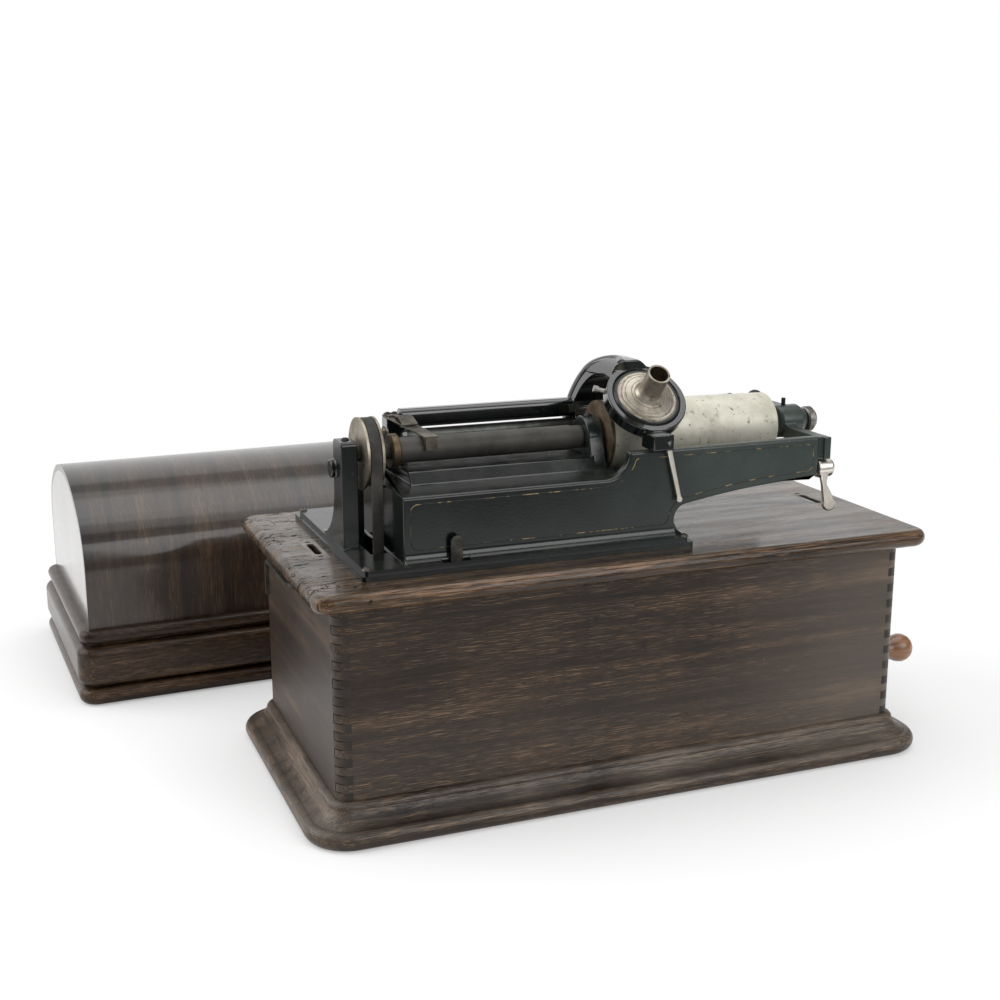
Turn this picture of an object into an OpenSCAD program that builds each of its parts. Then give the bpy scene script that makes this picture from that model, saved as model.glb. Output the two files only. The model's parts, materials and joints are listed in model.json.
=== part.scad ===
// Cylinder phonograph: spring motor in an oak case, works on an iron bedplate, lid set down behind it.
// Millimetres. Origin in the middle of the case's underside, X along the shafts, Y to the back, Z up.

/* [Case] */
// Width of the case over its end panels
case_w = 408; // [395:1:440]
// Depth of the case over its front and back panels
case_d = 190; // [186:1:230]
// Height of the top board's underside above the table
case_h = 150.6; // [142:0.2:190]
// Thickness of the case panels
panel_t = 9.5; // [7:0.5:11]
// Fingers in each corner joint
finger_n = 25; // [15:2:35]
// Rounding of the case's upright corners
case_r = 9; // [3:0.5:11]
// Thickness of the bottom board
bottom_t = 8; // [6:0.5:12]
// Thickness of the top board
board_t = 11.8; // [10:0.2:16]
// How far the top board's rounded edge stands out past the case
board_over = 14.2; // [10:0.2:18]
// Corner radius of the top board inside its rounded edge
board_r = 6; // [3:0.5:10]
// Height of the base moulding
base_h = 25.4; // [23:0.1:30]
// How far the base moulding stands out past the case
base_over = 20.5; // [17:0.1:24]
// Height of the base moulding's round nose
base_step_h = 12.4; // [10:0.1:14]
// Radius of the thumb round at the top of the base moulding
base_thumb = 4.6; // [3:0.1:6]
// Depth of the hollow between the base moulding's nose and its thumb round
base_hollow = 1.3; // [0.5:0.1:2]
// Distance of the hook slots in from the ends of the case
slot_in = 13.2; // [12.2:0.1:13.5]
// Length of the hook slots
slot_l = 27; // [20:1:34]
// Width of the hook slots
slot_w = 5; // [4.5:0.1:5.6]
// Length of the slot plates
plate_l = 46; // [42:1:60]
// Width of the slot plates
plate_w = 10.4; // [8:0.2:12]
// Thickness of the slot plates
plate_t = 1.2; // [0.8:0.1:2]

/* [Bedplate] */
// Distance of the bedplate's left edge in from the left end of the case
bed_in = 21; // [18.5:0.5:24]
// Width of the bedplate
bed_w = 228; // [226:1:240]
// Distance of the bedplate's long edges in from the front and back of the case
bed_margin = 8.5; // [4:0.5:9]
// Thickness of the bedplate
bed_t = 6; // [5:0.5:9]
// Inset of the bedplate's upper layer
bed_step = 3; // [2:0.5:5]
// Shift of the bedplate to the back
bed_shift = 1; // [0:0.5:2]
// Width of the rim of the top board that carries the bedplate
bed_seat = 9; // [7:0.5:11]
// Radius of the bedplate screws
bed_screw_r = 1.7; // [1.4:0.1:2.4]

/* [Shaft line] */
// Height of the shaft line above the bedplate
shaft_rise = 60; // [58:0.5:70]
// Radius of the shaft's journals
journal_r = 5; // [4:0.25:6]
// Radius of the feed screw
screw_r = 8.35; // [7:0.05:9]
// Length of the feed screw
screw_l = 129.5; // [124:0.5:140]
// Radius of the shaft collar
collar_r = 11.35; // [10:0.05:13]
// Width of the shaft collar
collar_w = 5.7; // [4:0.1:8]
// Radius of the pulleys under the belt
drum_r = 21.4; // [18:0.1:24]
// Height of the pulley flanges above the drum
flange_h = 2; // [1.8:0.1:3]
// Thickness of the pulley flanges
flange_t = 1.6; // [1.2:0.1:2.5]
// Width of the belt
belt_w = 7; // [6:0.5:9]
// Thickness of the belt
belt_t = 1.6; // [1:0.1:1.8]
// Thickness of the left pillar along the shaft
pillar_t = 11; // [9:0.5:13]
// Radius of the mandrel at its thick end
mandrel_r1 = 23.5; // [23:0.1:25]
// Radius of the mandrel at its thin end
mandrel_r2 = 21.4; // [20:0.1:22.5]
// Length of the mandrel with its end plate
mandrel_l = 130.2; // [126:0.2:140]
// Wall of the mandrel
mandrel_wall = 3; // [2:0.2:4]
// Thickness of the mandrel's end plate
end_plate_t = 2.5; // [1.5:0.1:4]

/* [Bed casting] */
// Distance of the casting's front face in from the bedplate's front edge
front_in = 10.5; // [10:0.5:14]
// Reach of the casting's front face ahead of the shaft line
front_reach = 55; // [53:0.5:58]
// Reach of the casting's back face behind the shaft line
back_reach = 62; // [60:0.5:66]
// Wall of the casting
cast_wall = 7; // [6:0.5:9]
// Height of the casting's front ledge above the bedplate
ledge_h = 41.6; // [38:0.2:44]
// Height of the front rail's top above the bedplate
rail_h = 58.4; // [56:0.2:60]
// Depth of the front rail's face at its right end
rail_face = 27.9; // [26:0.1:30]
// Rise of the arched underside of the front rail
rail_bow = 2.1; // [1:0.1:4]
// Rounding of the front rail's lower corner
rail_corner = 6; // [3:0.5:8]
// Radius of the round bay under the front rail
bay_r = 10.5; // [9:0.5:12]
// Length of the casting's body past the centre bearing
body_past = 33; // [28:1:40]
// Width of the centre bearing along the shaft
bearing_w = 11; // [9:0.5:13]
// Radius of the centre bearing's head
bearing_r = 14.2; // [12:0.2:16]
// Radius of the bearing bushes
bush_r = 7; // [6.6:0.1:7.6]
// Distance of the back rod behind the shaft line
rod_back = 44; // [42.5:0.5:45]
// Radius of the back rod
rod_r = 4.8; // [4:0.1:5.5]
// Radius of the bosses that hold the back rod
rod_boss_r = 8.5; // [8:0.1:9]

/* [Carriage] */
// Place of the reproducer along the mandrel from its thick end
ring_at = 22; // [16:1:30]
// Radius of the reproducer ring
ring_r = 27.8; // [27:0.2:30]
// Width of the reproducer ring's rim
ring_rim = 4.4; // [3:0.2:6]
// Thickness of the reproducer ring
ring_t = 9; // [7:0.5:10]
// Distance of the ring's middle from the shaft line
ring_lift = 36.8; // [36:0.2:40]
// Lean of the reproducer ring to the front
ring_lean = 43; // [38:1:48]
// Inner radius of the arm round the record
arm_r = 41.5; // [39:0.5:43]
// Thickness of the arm
arm_t = 11.7; // [10:0.1:13]
// Width of the carriage bar
bar_w = 12; // [9:0.5:14]
// Height of the carriage bar
bar_h = 13; // [11:0.2:14]
// Rounding of the carriage bar's edges
bar_round = 4.5; // [2:0.5:5]
// Gap under the carriage bar above the back rod
bar_gap = 1.5; // [1:0.1:3]
// Length of each carriage bush
bush_l = 14; // [10:1:18]
// Wall of each carriage bush
bush_wall = 2.2; // [1.5:0.1:3]
// Radius of the horn neck
neck_r = 7.6; // [7:0.1:9]
// Bore of the horn neck
neck_bore = 6.3; // [5:0.1:6.5]
// Length of the horn neck above the reproducer
neck_l = 24; // [20:1:34]
// Width of the front lug
lug_w = 14.6; // [13:0.2:18]
// Height of the front lug
lug_h = 10.5; // [10:0.5:12]
// Depth of the front lug
lug_d = 18; // [15:0.5:20]
// Length of the lift lever
lift_l = 40; // [34:1:42]
// Thickness of the lift lever
lift_t = 2; // [1.6:0.1:2.4]

/* [End gate] */
// Gap between the mandrel's thin end and the end of the front rail
rail_past = 11.5; // [10:0.5:15]
// Gap between the mandrel's thin end and the gate's barrel
barrel_gap = 9.3; // [8:0.1:11]
// Distance of the gate's hinge pin past the end of the rail
pin_past = 8; // [7:0.5:11]
// Radius of the gate's hinge pin
gate_pin_r = 3.5; // [3:0.1:4.5]
// Radius of the gate's bearing barrel
barrel_r = 11.5; // [10:0.5:13]
// Length of the gate's bearing barrel
barrel_l = 24; // [20:1:28]
// Radius of the centre screw
centre_r = 4; // [3:0.1:5]
// Radius of the knurled head of the centre screw
knurl_r = 8.6; // [7:0.1:10]
// Radius of the latch hub
hub_r = 6.4; // [5:0.1:7]
// Length of the latch lever
latch_l = 25; // [22:1:28]

/* [Motor] */
// Depth of the motor pulley below the shaft line
pulley_drop = 123; // [118:1:126]
// Tooth size of the motor gears
tooth = 1; // [0.9:0.05:1]
// Teeth of the small motor gears
pinion_z = 16; // [15:1:18]
// Teeth of the pulley arbor's and middle arbor's wheels
wheel_z = 48; // [44:1:50]
// Teeth of the spring barrel
barrel_z = 64; // [60:1:66]
// Teeth of the crank pinion
crank_z = 18; // [16:1:20]
// Teeth of the winding wheel
winding_z = 54; // [50:1:56]
// Thickness of the motor plates
frame_t = 4; // [3:0.5:5]
// Length between the motor plates
frame_l = 106; // [104:1:112]
// Radius of the motor's arbors
arbor_r = 3; // [2.5:0.1:3.5]
// Radius of the spring barrel's drum
spring_drum_r = 29; // [26:0.5:29.5]
// Length of the spring barrel's drum
spring_drum_l = 60; // [50:1:62]
// Radius of the governor's balls about their shaft
governor_r = 12; // [10:0.5:13]

/* [Crank] */
// Throw of the crank
crank_throw = 68.5; // [60:0.5:70]
// Lean of the crank arm, counted from straight back
crank_turn = 220; // [0:1:359]
// Radius of the crank shaft
crank_r = 4.5; // [4:0.1:5.5]
// Length of the crank knob
knob_l = 28; // [26:1:36]
// Radius of the crank knob
knob_r = 10.7; // [9:0.1:12]

/* [Lid] */
// Height of the lid
dome_h = 167.6; // [160:0.2:190]
// Height at which the dome's sides start to curve
dome_side_h = 102; // [80:1:108]
// Radius of the dome's shoulders
shoulder_r = 50; // [34:1:54]
// Thickness of the lid's bent shell
shell_t = 5; // [4:0.5:8]
// Thickness of the lid's end boards
lid_end_t = 12; // [8:0.5:16]
// Height of the lid's frame
lid_frame_h = 59; // [54:0.5:64]
// Thickness of the lid's frame inside its mouldings
lid_frame_t = 9; // [7:0.5:12]
// How far the lid's mouldings stand out past the dome
lid_over = 10.2; // [8:0.1:14]
// Place of the lid's middle to the right of the case's middle
lid_x = -116.6; // [-400:0.2:400]
// Gap between the base moulding and the lid behind it
lid_gap = 81.6; // [20:0.2:200]
// Turn of the lid on the table
lid_turn = 2.3; // [0:0.1:5]

/* [Clearances] */
// Radial clearance of a running fit
run = 0.05; // [0.03:0.01:0.08]
// Gap between pieces that move past each other
slip = 0.5; // [0.3:0.05:0.8]
// Radial clearance of a screw in its hole
screw_gap = 0.2; // [0.1:0.05:0.4]

/* [Hidden] */
$fn = 64;
// How far joined shapes and cuts run past each other
lap = 1;
// How deep one shape of a casting runs into the next
sink = 0.1;
// Gap between pieces that sit in each other
hair = 0.05;

// Finishes
oak = "#2b1d17";
oak_light = "#3a2820";
japan = "#1d2424";
iron = "#3b3a38";
nickel = "#b5ab94";
brass = "#a98a55";
steel = "#8d8c88";
leather = "#55504a";
red_wood = "#7a3b22";
rust = "#5b4632";
copper = "#8a6a55";
mica = "ivory";

// Heights and places that follow from the sizes above
board_top = case_h + board_t;
bed_top = board_top + bed_t;
bed_x = -case_w/2 + bed_in;
bed_d = case_d - 2*bed_margin;
bed_x1 = bed_x + bed_w;
bed_y0 = bed_shift - bed_d/2;
bed_y1 = bed_shift + bed_d/2;
slot_x = case_w/2 - slot_in;
sy = bed_y0 + front_in + front_reach;
sz = bed_top + shaft_rise;
pillar_in = 4;
pillar_head = 9.5;
pillar_skin = 2;
screw_bite = 10;
pillar_x = bed_x + pillar_in;
flange_r = drum_r + flange_h;
pulley_w = belt_w + 2*slip + 2*flange_t;
pulley_gap = 3;
pulley_x = pillar_x + pillar_t + pulley_gap;
body_gap = 1.2;
cast_x = pulley_x + pulley_w + body_gap;
collar_in = 8;
collar_x = cast_x + collar_in;
screw_x = collar_x + collar_w;
screw_x1 = screw_x + screw_l;
bearing_in = 0.5;
blank_l = 8;
bearing_x = screw_x1 + bearing_in;
bearing_x1 = bearing_x + bearing_w;
plate_gap = 2;
mandrel_x = bearing_x1 + plate_gap;
mandrel_x1 = mandrel_x + mandrel_l;
ledge_z = bed_top + ledge_h;
rail_z = bed_top + rail_h;
front_y = sy - front_reach;
back_y = sy + back_reach;
body_x1 = bearing_x1 + body_past;
rail_x1 = mandrel_x1 + rail_past;
ry = sy + rod_back;
rod_post_in = 2;
rod_x = cast_x + rod_post_in;
rod_post_l = 12;
rod_in = 7.3;
rod_x1 = rail_x1 - rod_in;
table_gap = 2.4;
table_z = sz - screw_r - table_gap;
arm_drop = 14.4;
arm_top_z = sz - arm_drop;
gate_x = rail_x1 + pin_past;
gate_seat_h = 2;
gate_z0 = arm_top_z + gate_seat_h + slip;
knuckle_rise = 11.5;
gate_z1 = sz + knuckle_rise;
ring_x = mandrel_x + ring_at;
ring_round = 2;
ring_y = sy - ring_lift*sin(ring_lean + ring_round);
ring_z = sz + ring_lift*cos(ring_lean + ring_round);
dome_w = case_w + 2*(board_over - lid_over);
dome_d = case_d + 2*(board_over - lid_over);
lid_y = case_d/2 + base_over + lid_gap + dome_d/2 + lid_over;
lug_z = rail_z + slip + 2*hair;
lug_out = 6;
lug_y0 = front_y - lug_out;
my = sy;
mz = sz - pulley_drop;

// Works its way round a rounded rectangle with a profile: x out from the outline, y up
module round_sweep(w, d, r) {
    for (q = [0:3]) {
        hx = (q % 2 == 0 ? w : d)/2;
        hy = (q % 2 == 0 ? d : w)/2;
        rotate(90*q) {
            translate([hx, hy - r, 0]) rotate([90, 0, 0]) linear_extrude(2*(hy - r)) children();
            translate([hx - r, hy - r, 0]) rotate_extrude(angle = 90) translate([r, 0]) children();
        }
    }
}

module rounded_rect(w, d, r) {
    square([w - 2*r, d], center = true);
    square([w, d - 2*r], center = true);
    for (x = [-1, 1], y = [-1, 1]) translate([x*(w/2 - r), y*(d/2 - r)]) circle(r);
}

// A profile drawn in Y and Z, drawn out along X
module along_x(x, l) { translate([x, 0, 0]) rotate([90, 0, 90]) linear_extrude(l) children(); }

// A profile drawn in X and Z, drawn out along Y
module along_y(y, l) { translate([0, y + l, 0]) rotate([90, 0, 0]) linear_extrude(l) children(); }

module bar_x(x, l, r, y, z) { translate([x, y, z]) rotate([0, 90, 0]) cylinder(h = l, r = r); }

module tube_x(x, l, r, bore, y, z) {
    difference() {
        bar_x(x, l, r, y, z);
        bar_x(x - lap, l + 2*lap, bore, y, z);
    }
}

// A profile of radius against length turned about a line along X
module turned_x(x, y, z) { translate([x, y, z]) rotate([0, 90, 0]) rotate_extrude() children(); }

module box(x0, x1, y0, y1, z0, z1) { translate([x0, y0, z0]) cube([x1 - x0, y1 - y0, z1 - z0]); }

// Round-headed screw, head up, standing on z: its head in shares of the shank's radius
head_share = 1.9;
head_high = 1.2;
head_ball = 2.1;
head_slot = 0.5;

module screw(x, y, z, r, l) {
    head_r = head_share*r;
    slot = head_slot*r;
    translate([x, y, z - l]) cylinder(h = l, r = r);
    translate([x, y, z]) difference() {
        intersection() {
            cylinder(h = head_high*r, r = head_r);
            translate([0, 0, (head_high - head_ball)*r]) sphere(head_ball*r);
        }
        translate([-slot/2, -head_r - lap, head_high*r - slot]) cube([slot, 2*(head_r + lap), 2*slot]);
    }
}

// Involute gear outline: angles in degrees
pressure = 20;
back_lash = 0.07;
gear_add = 0.1;
tooth_root = 1.25;
tooth_tip = 0.95;
root_step = 0.1;
function inv(a) = tan(a)*180/PI - a;
function half_angle(z, r) =
    90/z - back_lash*90/(PI*tooth*z/2) + inv(pressure)
        - inv(acos(min(1, tooth*z/2*cos(pressure)/r)));
function tooth_points(z) =
    let (rp = tooth*z/2,
        rb = rp*cos(pressure),
        rf = rp - tooth_root*tooth,
        rs = max(rb, rf + root_step),
        ra = rp + tooth_tip*tooth,
        side = [[rf, half_angle(z, rs)], [rs, half_angle(z, rs)], [rp, half_angle(z, rp)],
            [ra, half_angle(z, ra)]])
    concat([for (p = side) [p[0], -p[1]]], [for (i = [3:-1:0]) side[i]]);
function gear_outline(z) =
    [for (i = [0:z - 1]) for (p = tooth_points(z)) p[0]*[cos(p[1] + 360*i/z), sin(p[1] + 360*i/z)]];
function gear_distance(z1, z2) = tooth*(z1 + z2)/2 + gear_add;

// A gear about a line along X, with a tooth at the angle "at" from the back towards the top
module gear_x(x, l, z, at, y, zc) {
    along_x(x, l) translate([y, zc]) rotate(at) polygon(gear_outline(z));
}

// Case

panel_h = case_h - bottom_t;

module case_outline(h) { linear_extrude(h) rounded_rect(case_w, case_d, case_r); }

// The finger cells of one family at one end of a panel
module fingers(odd, x, y) {
    pitch = panel_h/finger_n;
    for (i = [odd:2:finger_n - 1])
        translate([x - panel_t/2, y - panel_t/2, bottom_t + i*pitch]) cube([panel_t, panel_t, pitch]);
}

module long_panel(side) {
    y = side*(case_d - panel_t)/2;
    intersection() {
        translate([0, 0, bottom_t]) case_outline(panel_h);
        difference() {
            translate([-case_w/2, y - panel_t/2, bottom_t]) cube([case_w, panel_t, panel_h]);
            for (s = [-1, 1]) fingers(1, s*(case_w - panel_t)/2, y);
        }
    }
}

module end_panel(side) {
    x = side*(case_w - panel_t)/2;
    intersection() {
        translate([0, 0, bottom_t]) case_outline(panel_h);
        difference() {
            translate([x - panel_t/2, -case_d/2, bottom_t]) cube([panel_t, case_d, panel_h]);
            for (s = [-1, 1]) fingers(0, x, s*(case_d - panel_t)/2);
        }
    }
}

module bottom_board() { color(oak) case_outline(bottom_t); }
module front_panel() { color(oak) long_panel(-1); }
module back_panel() { color(oak) long_panel(1); }
module left_panel() { color(oak) end_panel(-1); }

module right_panel() {
    color(oak) difference() {
        end_panel(1);
        bar_x(0, case_w, crank_bush_r, crank_y, crank_z0);
    }
}

// Ogee base: a round nose below, then a shallow hollow up to a thumb round
module base_profile() {
    nose = base_step_h/2;
    low = [base_over - nose, base_step_h];
    high = [base_thumb, base_h - base_thumb];
    chord = norm(low - high);
    hollow_r = (chord*chord/4 + base_hollow*base_hollow)/(2*base_hollow);
    slope = atan2(high[1] - low[1], low[0] - high[0]);
    difference() {
        polygon([[0, 0], [low[0], 0], low, high, [0, high[1]]]);
        translate((low + high)/2) rotate(-slope) translate([0, hollow_r - base_hollow]) circle(hollow_r);
    }
    translate([low[0], nose]) circle(nose);
    intersection() {
        translate([0, high[1]]) circle(base_thumb);
        translate([0, high[1] - lap]) square(base_thumb + lap);
    }
}

module base_moulding() { color(oak_light) round_sweep(case_w, case_d, case_r) base_profile(); }

module slot_cut(x, z0, z1) {
    translate([x, 0, z0]) linear_extrude(z1 - z0) rounded_rect(slot_w, slot_l, slot_w/2 - hair);
}

module works_opening() {
    box(bed_x + bed_seat, bed_x1 - bed_seat, bed_y0 + bed_seat, bed_y1 - bed_seat,
        case_h - lap, board_top + lap);
}

module board_blank() {
    nose = board_t/2;
    w = case_w + 2*(board_over - nose);
    d = case_d + 2*(board_over - nose);
    translate([0, 0, case_h]) {
        linear_extrude(board_t) rounded_rect(w, d, board_r);
        round_sweep(w, d, board_r) intersection() {
            translate([0, nose]) circle(nose);
            translate([-lap, 0]) square([nose + lap, board_t]);
        }
    }
}

// Outline of the slot plates and of their recesses
plate_r = 1;
plate_screw_r = 1.8;

module plate_outline(s) { translate([s*slot_x, 0]) rounded_rect(plate_w, plate_l, plate_r); }

module top_board() {
    color(oak_light) difference() {
        board_blank();
        works_opening();
        start_notch();
        bed_screw_holes(bed_screw_r);
        for (s = [-1, 1]) {
            slot_cut(s*slot_x, case_h - lap, board_top + lap);
            translate([0, 0, board_top - plate_t]) linear_extrude(plate_t + lap) plate_outline(s);
        }
    }
}

module slot_plates() {
    screw_at = (plate_l + slot_l)/4;
    color(brass) for (s = [-1, 1]) difference() {
        translate([0, 0, board_top - plate_t]) linear_extrude(plate_t) plate_outline(s);
        slot_cut(s*slot_x, case_h, board_top + lap);
        for (e = [-1, 1]) translate([s*slot_x, e*screw_at, board_top - plate_t/2])
            cylinder(h = plate_t, r = plate_screw_r);
    }
}

// Bent wire strap under the overhang of the left end: knees in from the back and down from the board
wire_t = 2.6;
wire_bends = [[11, 41.6], [11, 21.6], [12.8, 17.9], [17, 16.1], [73, 16.6], [93, 12.6], [109, 2]];
wire_knees = [for (b = wire_bends) [case_d/2 - b[0], case_h - b[1]]];

function unit(v) = v/norm(v);
function knee_way(i) =
    let (n = len(wire_knees) - 1,
        a = unit(wire_knees[max(i, 1)] - wire_knees[max(i, 1) - 1]),
        b = unit(wire_knees[min(i, n - 1) + 1] - wire_knees[min(i, n - 1)]))
    unit(a + b);
function knee_side(i, out) = wire_knees[i] + out*wire_t/2*[-knee_way(i)[1], knee_way(i)[0]];

module side_wire() {
    n = len(wire_knees) - 1;
    color(steel) along_x(-case_w/2 - wire_t, wire_t)
        polygon(concat([for (i = [0:n]) knee_side(i, 1)], [for (i = [n:-1:0]) knee_side(i, -1)]));
}

crank_bush_r = 8;
bush_flange_r = 14;
bush_flange_t = 2.5;

module crank_bush() {
    color(nickel) difference() {
        union() {
            bar_x(case_w/2 - panel_t, panel_t, crank_bush_r, crank_y, crank_z0);
            bar_x(case_w/2, bush_flange_t, bush_flange_r, crank_y, crank_z0);
        }
        bar_x(0, case_w, crank_r + run, crank_y, crank_z0);
    }
}

// Bedplate and works casting

module bed_screw_places() {
    in_x = 5;
    in_y = 6;
    for (x = [bed_x + in_x, bed_x1 - in_x], y = [bed_y0 + in_y, bed_y1 - in_y])
        translate([x, y, 0]) children();
}

module bed_screw_holes(r) {
    bed_screw_places() translate([0, 0, board_top - screw_bite])
        cylinder(h = screw_bite + bed_t + lap, r = r);
}

module bed_screws() {
    color(steel) bed_screw_places() screw(0, 0, bed_top, bed_screw_r, bed_t + screw_bite - slip);
}

module bed_plate() {
    low_t = 3.3;
    corner = 3;
    cx = (bed_x + bed_x1)/2;
    translate([cx, bed_shift, board_top]) linear_extrude(low_t) rounded_rect(bed_w, bed_d, corner);
    translate([cx, bed_shift, board_top]) linear_extrude(bed_t)
        rounded_rect(bed_w - 2*bed_step, bed_d - 2*bed_step, corner - lap);
}

bay_x = body_x1 + bay_r;
bay_z = bed_top + bay_r;

// Front elevation of the body: square to the left, a round bay to the right
module body_face() {
    difference() {
        translate([cast_x, bed_top - sink]) square([bay_x - cast_x, ledge_h + sink]);
        translate([bay_x, bay_z]) circle(bay_r);
        translate([bay_x - lap, bed_top - lap]) square([bay_r, ledge_h]);
    }
    translate([cast_x, bay_z + bay_r]) square([bay_x - cast_x, ledge_h - 2*bay_r]);
}

// Front elevation of the rail, swept up from the ledge in a quarter round, with an arched underside
module rail_face_shape() {
    rise = rail_z - ledge_z;
    up_x = bearing_x1;
    low_z1 = rail_z - rail_face;
    bay_top = bay_z + bay_r;
    chord = norm([rail_x1 - bay_x, low_z1 - bay_top]);
    bow_r = (chord*chord/4 + rail_bow*rail_bow)/(2*rail_bow);
    slope = atan2(low_z1 - bay_top, rail_x1 - bay_x);
    corner_x = rail_x1 - rail_corner;
    difference() {
        polygon([[up_x, ledge_z - lap], [up_x, rail_z], [rail_x1, rail_z], [rail_x1, low_z1 - lap],
            [bay_x - lap, bay_top - lap], [bay_x - lap, ledge_z - lap]]);
        translate([bay_x, bay_z]) circle(bay_r);
        translate([(bay_x + rail_x1)/2, (bay_top + low_z1)/2]) rotate(slope)
            translate([0, rail_bow - bow_r]) circle(bow_r);
        translate([corner_x, low_z1 - 2*lap]) square([rail_corner + lap, rail_corner + 2*lap]);
    }
    translate([corner_x, low_z1 + rail_corner]) circle(rail_corner);
    difference() {
        translate([up_x - rise, ledge_z - lap]) square([rise + lap, rise + lap]);
        translate([up_x - rise, rail_z]) circle(rise);
    }
}

// Height left free for the underside of a record
record_r = 28.6;
record_gap = 2;
low_z = sz - record_r - record_gap;
arm_half = 9;

module body_casting() {
    difference() {
        along_y(front_y, back_y - front_y) body_face();
        box(cast_x + cast_wall, bearing_x1 - cast_wall, front_y + cast_wall, back_y - cast_wall,
            bed_top - lap, ledge_z - cast_wall);
        box(bearing_x1 - cast_wall - lap, body_x1 - cast_wall, front_y + cast_wall, back_y - cast_wall,
            bed_top - lap, low_z - cast_wall);
        box(bearing_x1, bay_x + lap, front_y + cast_wall, ry - arm_half - slip, low_z, ledge_z + lap);
    }
    along_y(front_y, cast_wall) rail_face_shape();
    body_foot();
    feed_table();
}

// Hollow foot moulding along the front
module body_foot() {
    foot = 6;
    along_x(cast_x, body_x1 - cast_x) difference() {
        translate([front_y - foot, bed_top - sink]) square([foot + sink, foot]);
        translate([front_y - foot, bed_top + foot - sink]) circle(foot);
    }
}

// Sloped table under the feed screw
module feed_table() {
    ahead = 18;
    behind = 8;
    slope = 7;
    in = 1.5;
    along_x(screw_x + in, bearing_x - screw_x) polygon([[sy - ahead - slope, ledge_z - lap],
        [sy - ahead, table_z], [back_y - behind, table_z], [back_y - behind + slope, ledge_z - lap]]);
}

// Left pillar: upright at the front, swept out to the back at its foot
module pillar() {
    top_z = sz + pillar_head;
    half = 10;
    sweep = 37;
    corner = 3;
    boss_r = 6;
    boss_out = 3;
    boss_at = [8, -10];
    along_x(pillar_x, pillar_t) {
        translate([sy - half, bed_top - sink]) square([2*half, top_z - bed_top - corner + sink]);
        translate([sy - half + corner, top_z - corner - lap]) square([2*(half - corner), corner + lap]);
        for (s = [-1, 1]) translate([sy + s*(half - corner), top_z - corner]) circle(corner);
        difference() {
            translate([sy - half, bed_top - sink]) square([half*2 + sweep, sweep]);
            translate([sy + half + sweep, bed_top + sweep]) circle(sweep);
        }
    }
    // round nut boss on the outer face
    bar_x(pillar_x - boss_out, boss_out + lap, boss_r, sy + boss_at[0], sz + boss_at[1]);
}

module centre_bearing() {
    flare = 6;
    along_x(bearing_x, bearing_w) {
        translate([sy, sz]) circle(bearing_r);
        polygon([[sy - bearing_r, sz], [sy + bearing_r, sz], [sy + bearing_r + flare, ledge_z - lap],
            [sy - bearing_r - flare, ledge_z - lap]]);
    }
}

// Posts for the back rod and the arm that reaches along the back to the gate's hinge
post_head = 12.6;
arm_depth = 16;
pin_bite = 15;

module rear_arm() {
    low = arm_top_z - arm_depth;
    root = 20;
    for (p = [[rod_x, ledge_z - lap], [rod_x1 - rod_post_l, arm_top_z - lap]]) {
        bar_x(p[0], rod_post_l, rod_boss_r, ry, sz);
        box(p[0], p[0] + rod_post_l, ry - rod_boss_r, ry + rod_boss_r, p[1], sz);
    }
    box(rod_x1 - rod_post_l, rod_x1, ry - rod_boss_r, ry + rod_boss_r, sz - lap, sz + post_head);
    box(body_x1 - root, gate_x, ry - arm_half, ry + arm_half, low, arm_top_z);
    translate([gate_x, ry, low]) cylinder(h = arm_depth + gate_seat_h, r = arm_half);
}

belt_half = drum_r + run + belt_t;

module bed_casting() {
    belt_room = 3;
    head_room = 10;
    pin_room = 2;
    color(japan) difference() {
        union() {
            bed_plate();
            body_casting();
            pillar();
            centre_bearing();
            rear_arm();
            bar_x(rail_x1 - rail_corner, rail_corner + latch_stud_l, latch_stud_r, latch_y, latch_z);
            start_bracket();
        }
        bed_screw_holes(bed_screw_r + screw_gap);
        bed_screw_places() translate([0, 0, bed_top])
            cylinder(h = head_room, r = head_share*bed_screw_r + slip);
        box(pulley_x, pulley_x + pulley_w, sy - belt_half - belt_room, sy + belt_half + belt_room,
            board_top - lap, bed_top + lap);
        bar_x(pillar_x + pillar_skin, pillar_t, bush_r, sy, sz);
        bar_x(bearing_x - lap, bearing_w + 2*lap, bush_r, sy, sz);
        bar_x(rod_x - lap, rod_x1 - rod_x + 2*lap, rod_r, ry, sz);
        translate([gate_x, ry, arm_top_z - pin_bite - pin_room])
            cylinder(h = pin_bite + pin_room + gate_seat_h + lap, r = gate_pin_r);
        translate([pillar_x + pillar_t/2, sy, sz]) cylinder(h = pillar_head + lap, r = oil_r);
        translate([(bearing_x + bearing_x1)/2, sy, sz]) cylinder(h = bearing_r + lap, r = oil_r);
        translate([rod_x1 - rod_post_l/2, ry, sz]) cylinder(h = post_head + lap, r = oil_r);
        start_slot();
        translate([speed_x, speed_y, board_top - lap]) cylinder(h = bed_t + 2*lap, r = speed_r + run);
        hanger_places() translate([0, 0, board_top - lap]) cylinder(h = bed_t + 2*lap, r = hanger_r);
    }
}

module pillar_bush() {
    color(brass) tube_x(pillar_x + pillar_skin, pillar_t - pillar_skin, bush_r, journal_r + run, sy, sz);
}

module centre_bush() { color(brass) tube_x(bearing_x, bearing_w, bush_r, journal_r + run, sy, sz); }

oil_r = 1.5;

module oil_screws() {
    color(iron) {
        screw(pillar_x + pillar_t/2, sy, sz + pillar_head, oil_r, pillar_head - bush_r);
        screw((bearing_x + bearing_x1)/2, sy, sz + bearing_r, oil_r, bearing_r - bush_r);
    }
}

// Shaft with its feed screw, collar, pulley and mandrel

seat_l = 26;
mandrel_inset = 3;
dimple_l = 5;
dimple_r = 3.5;

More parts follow.
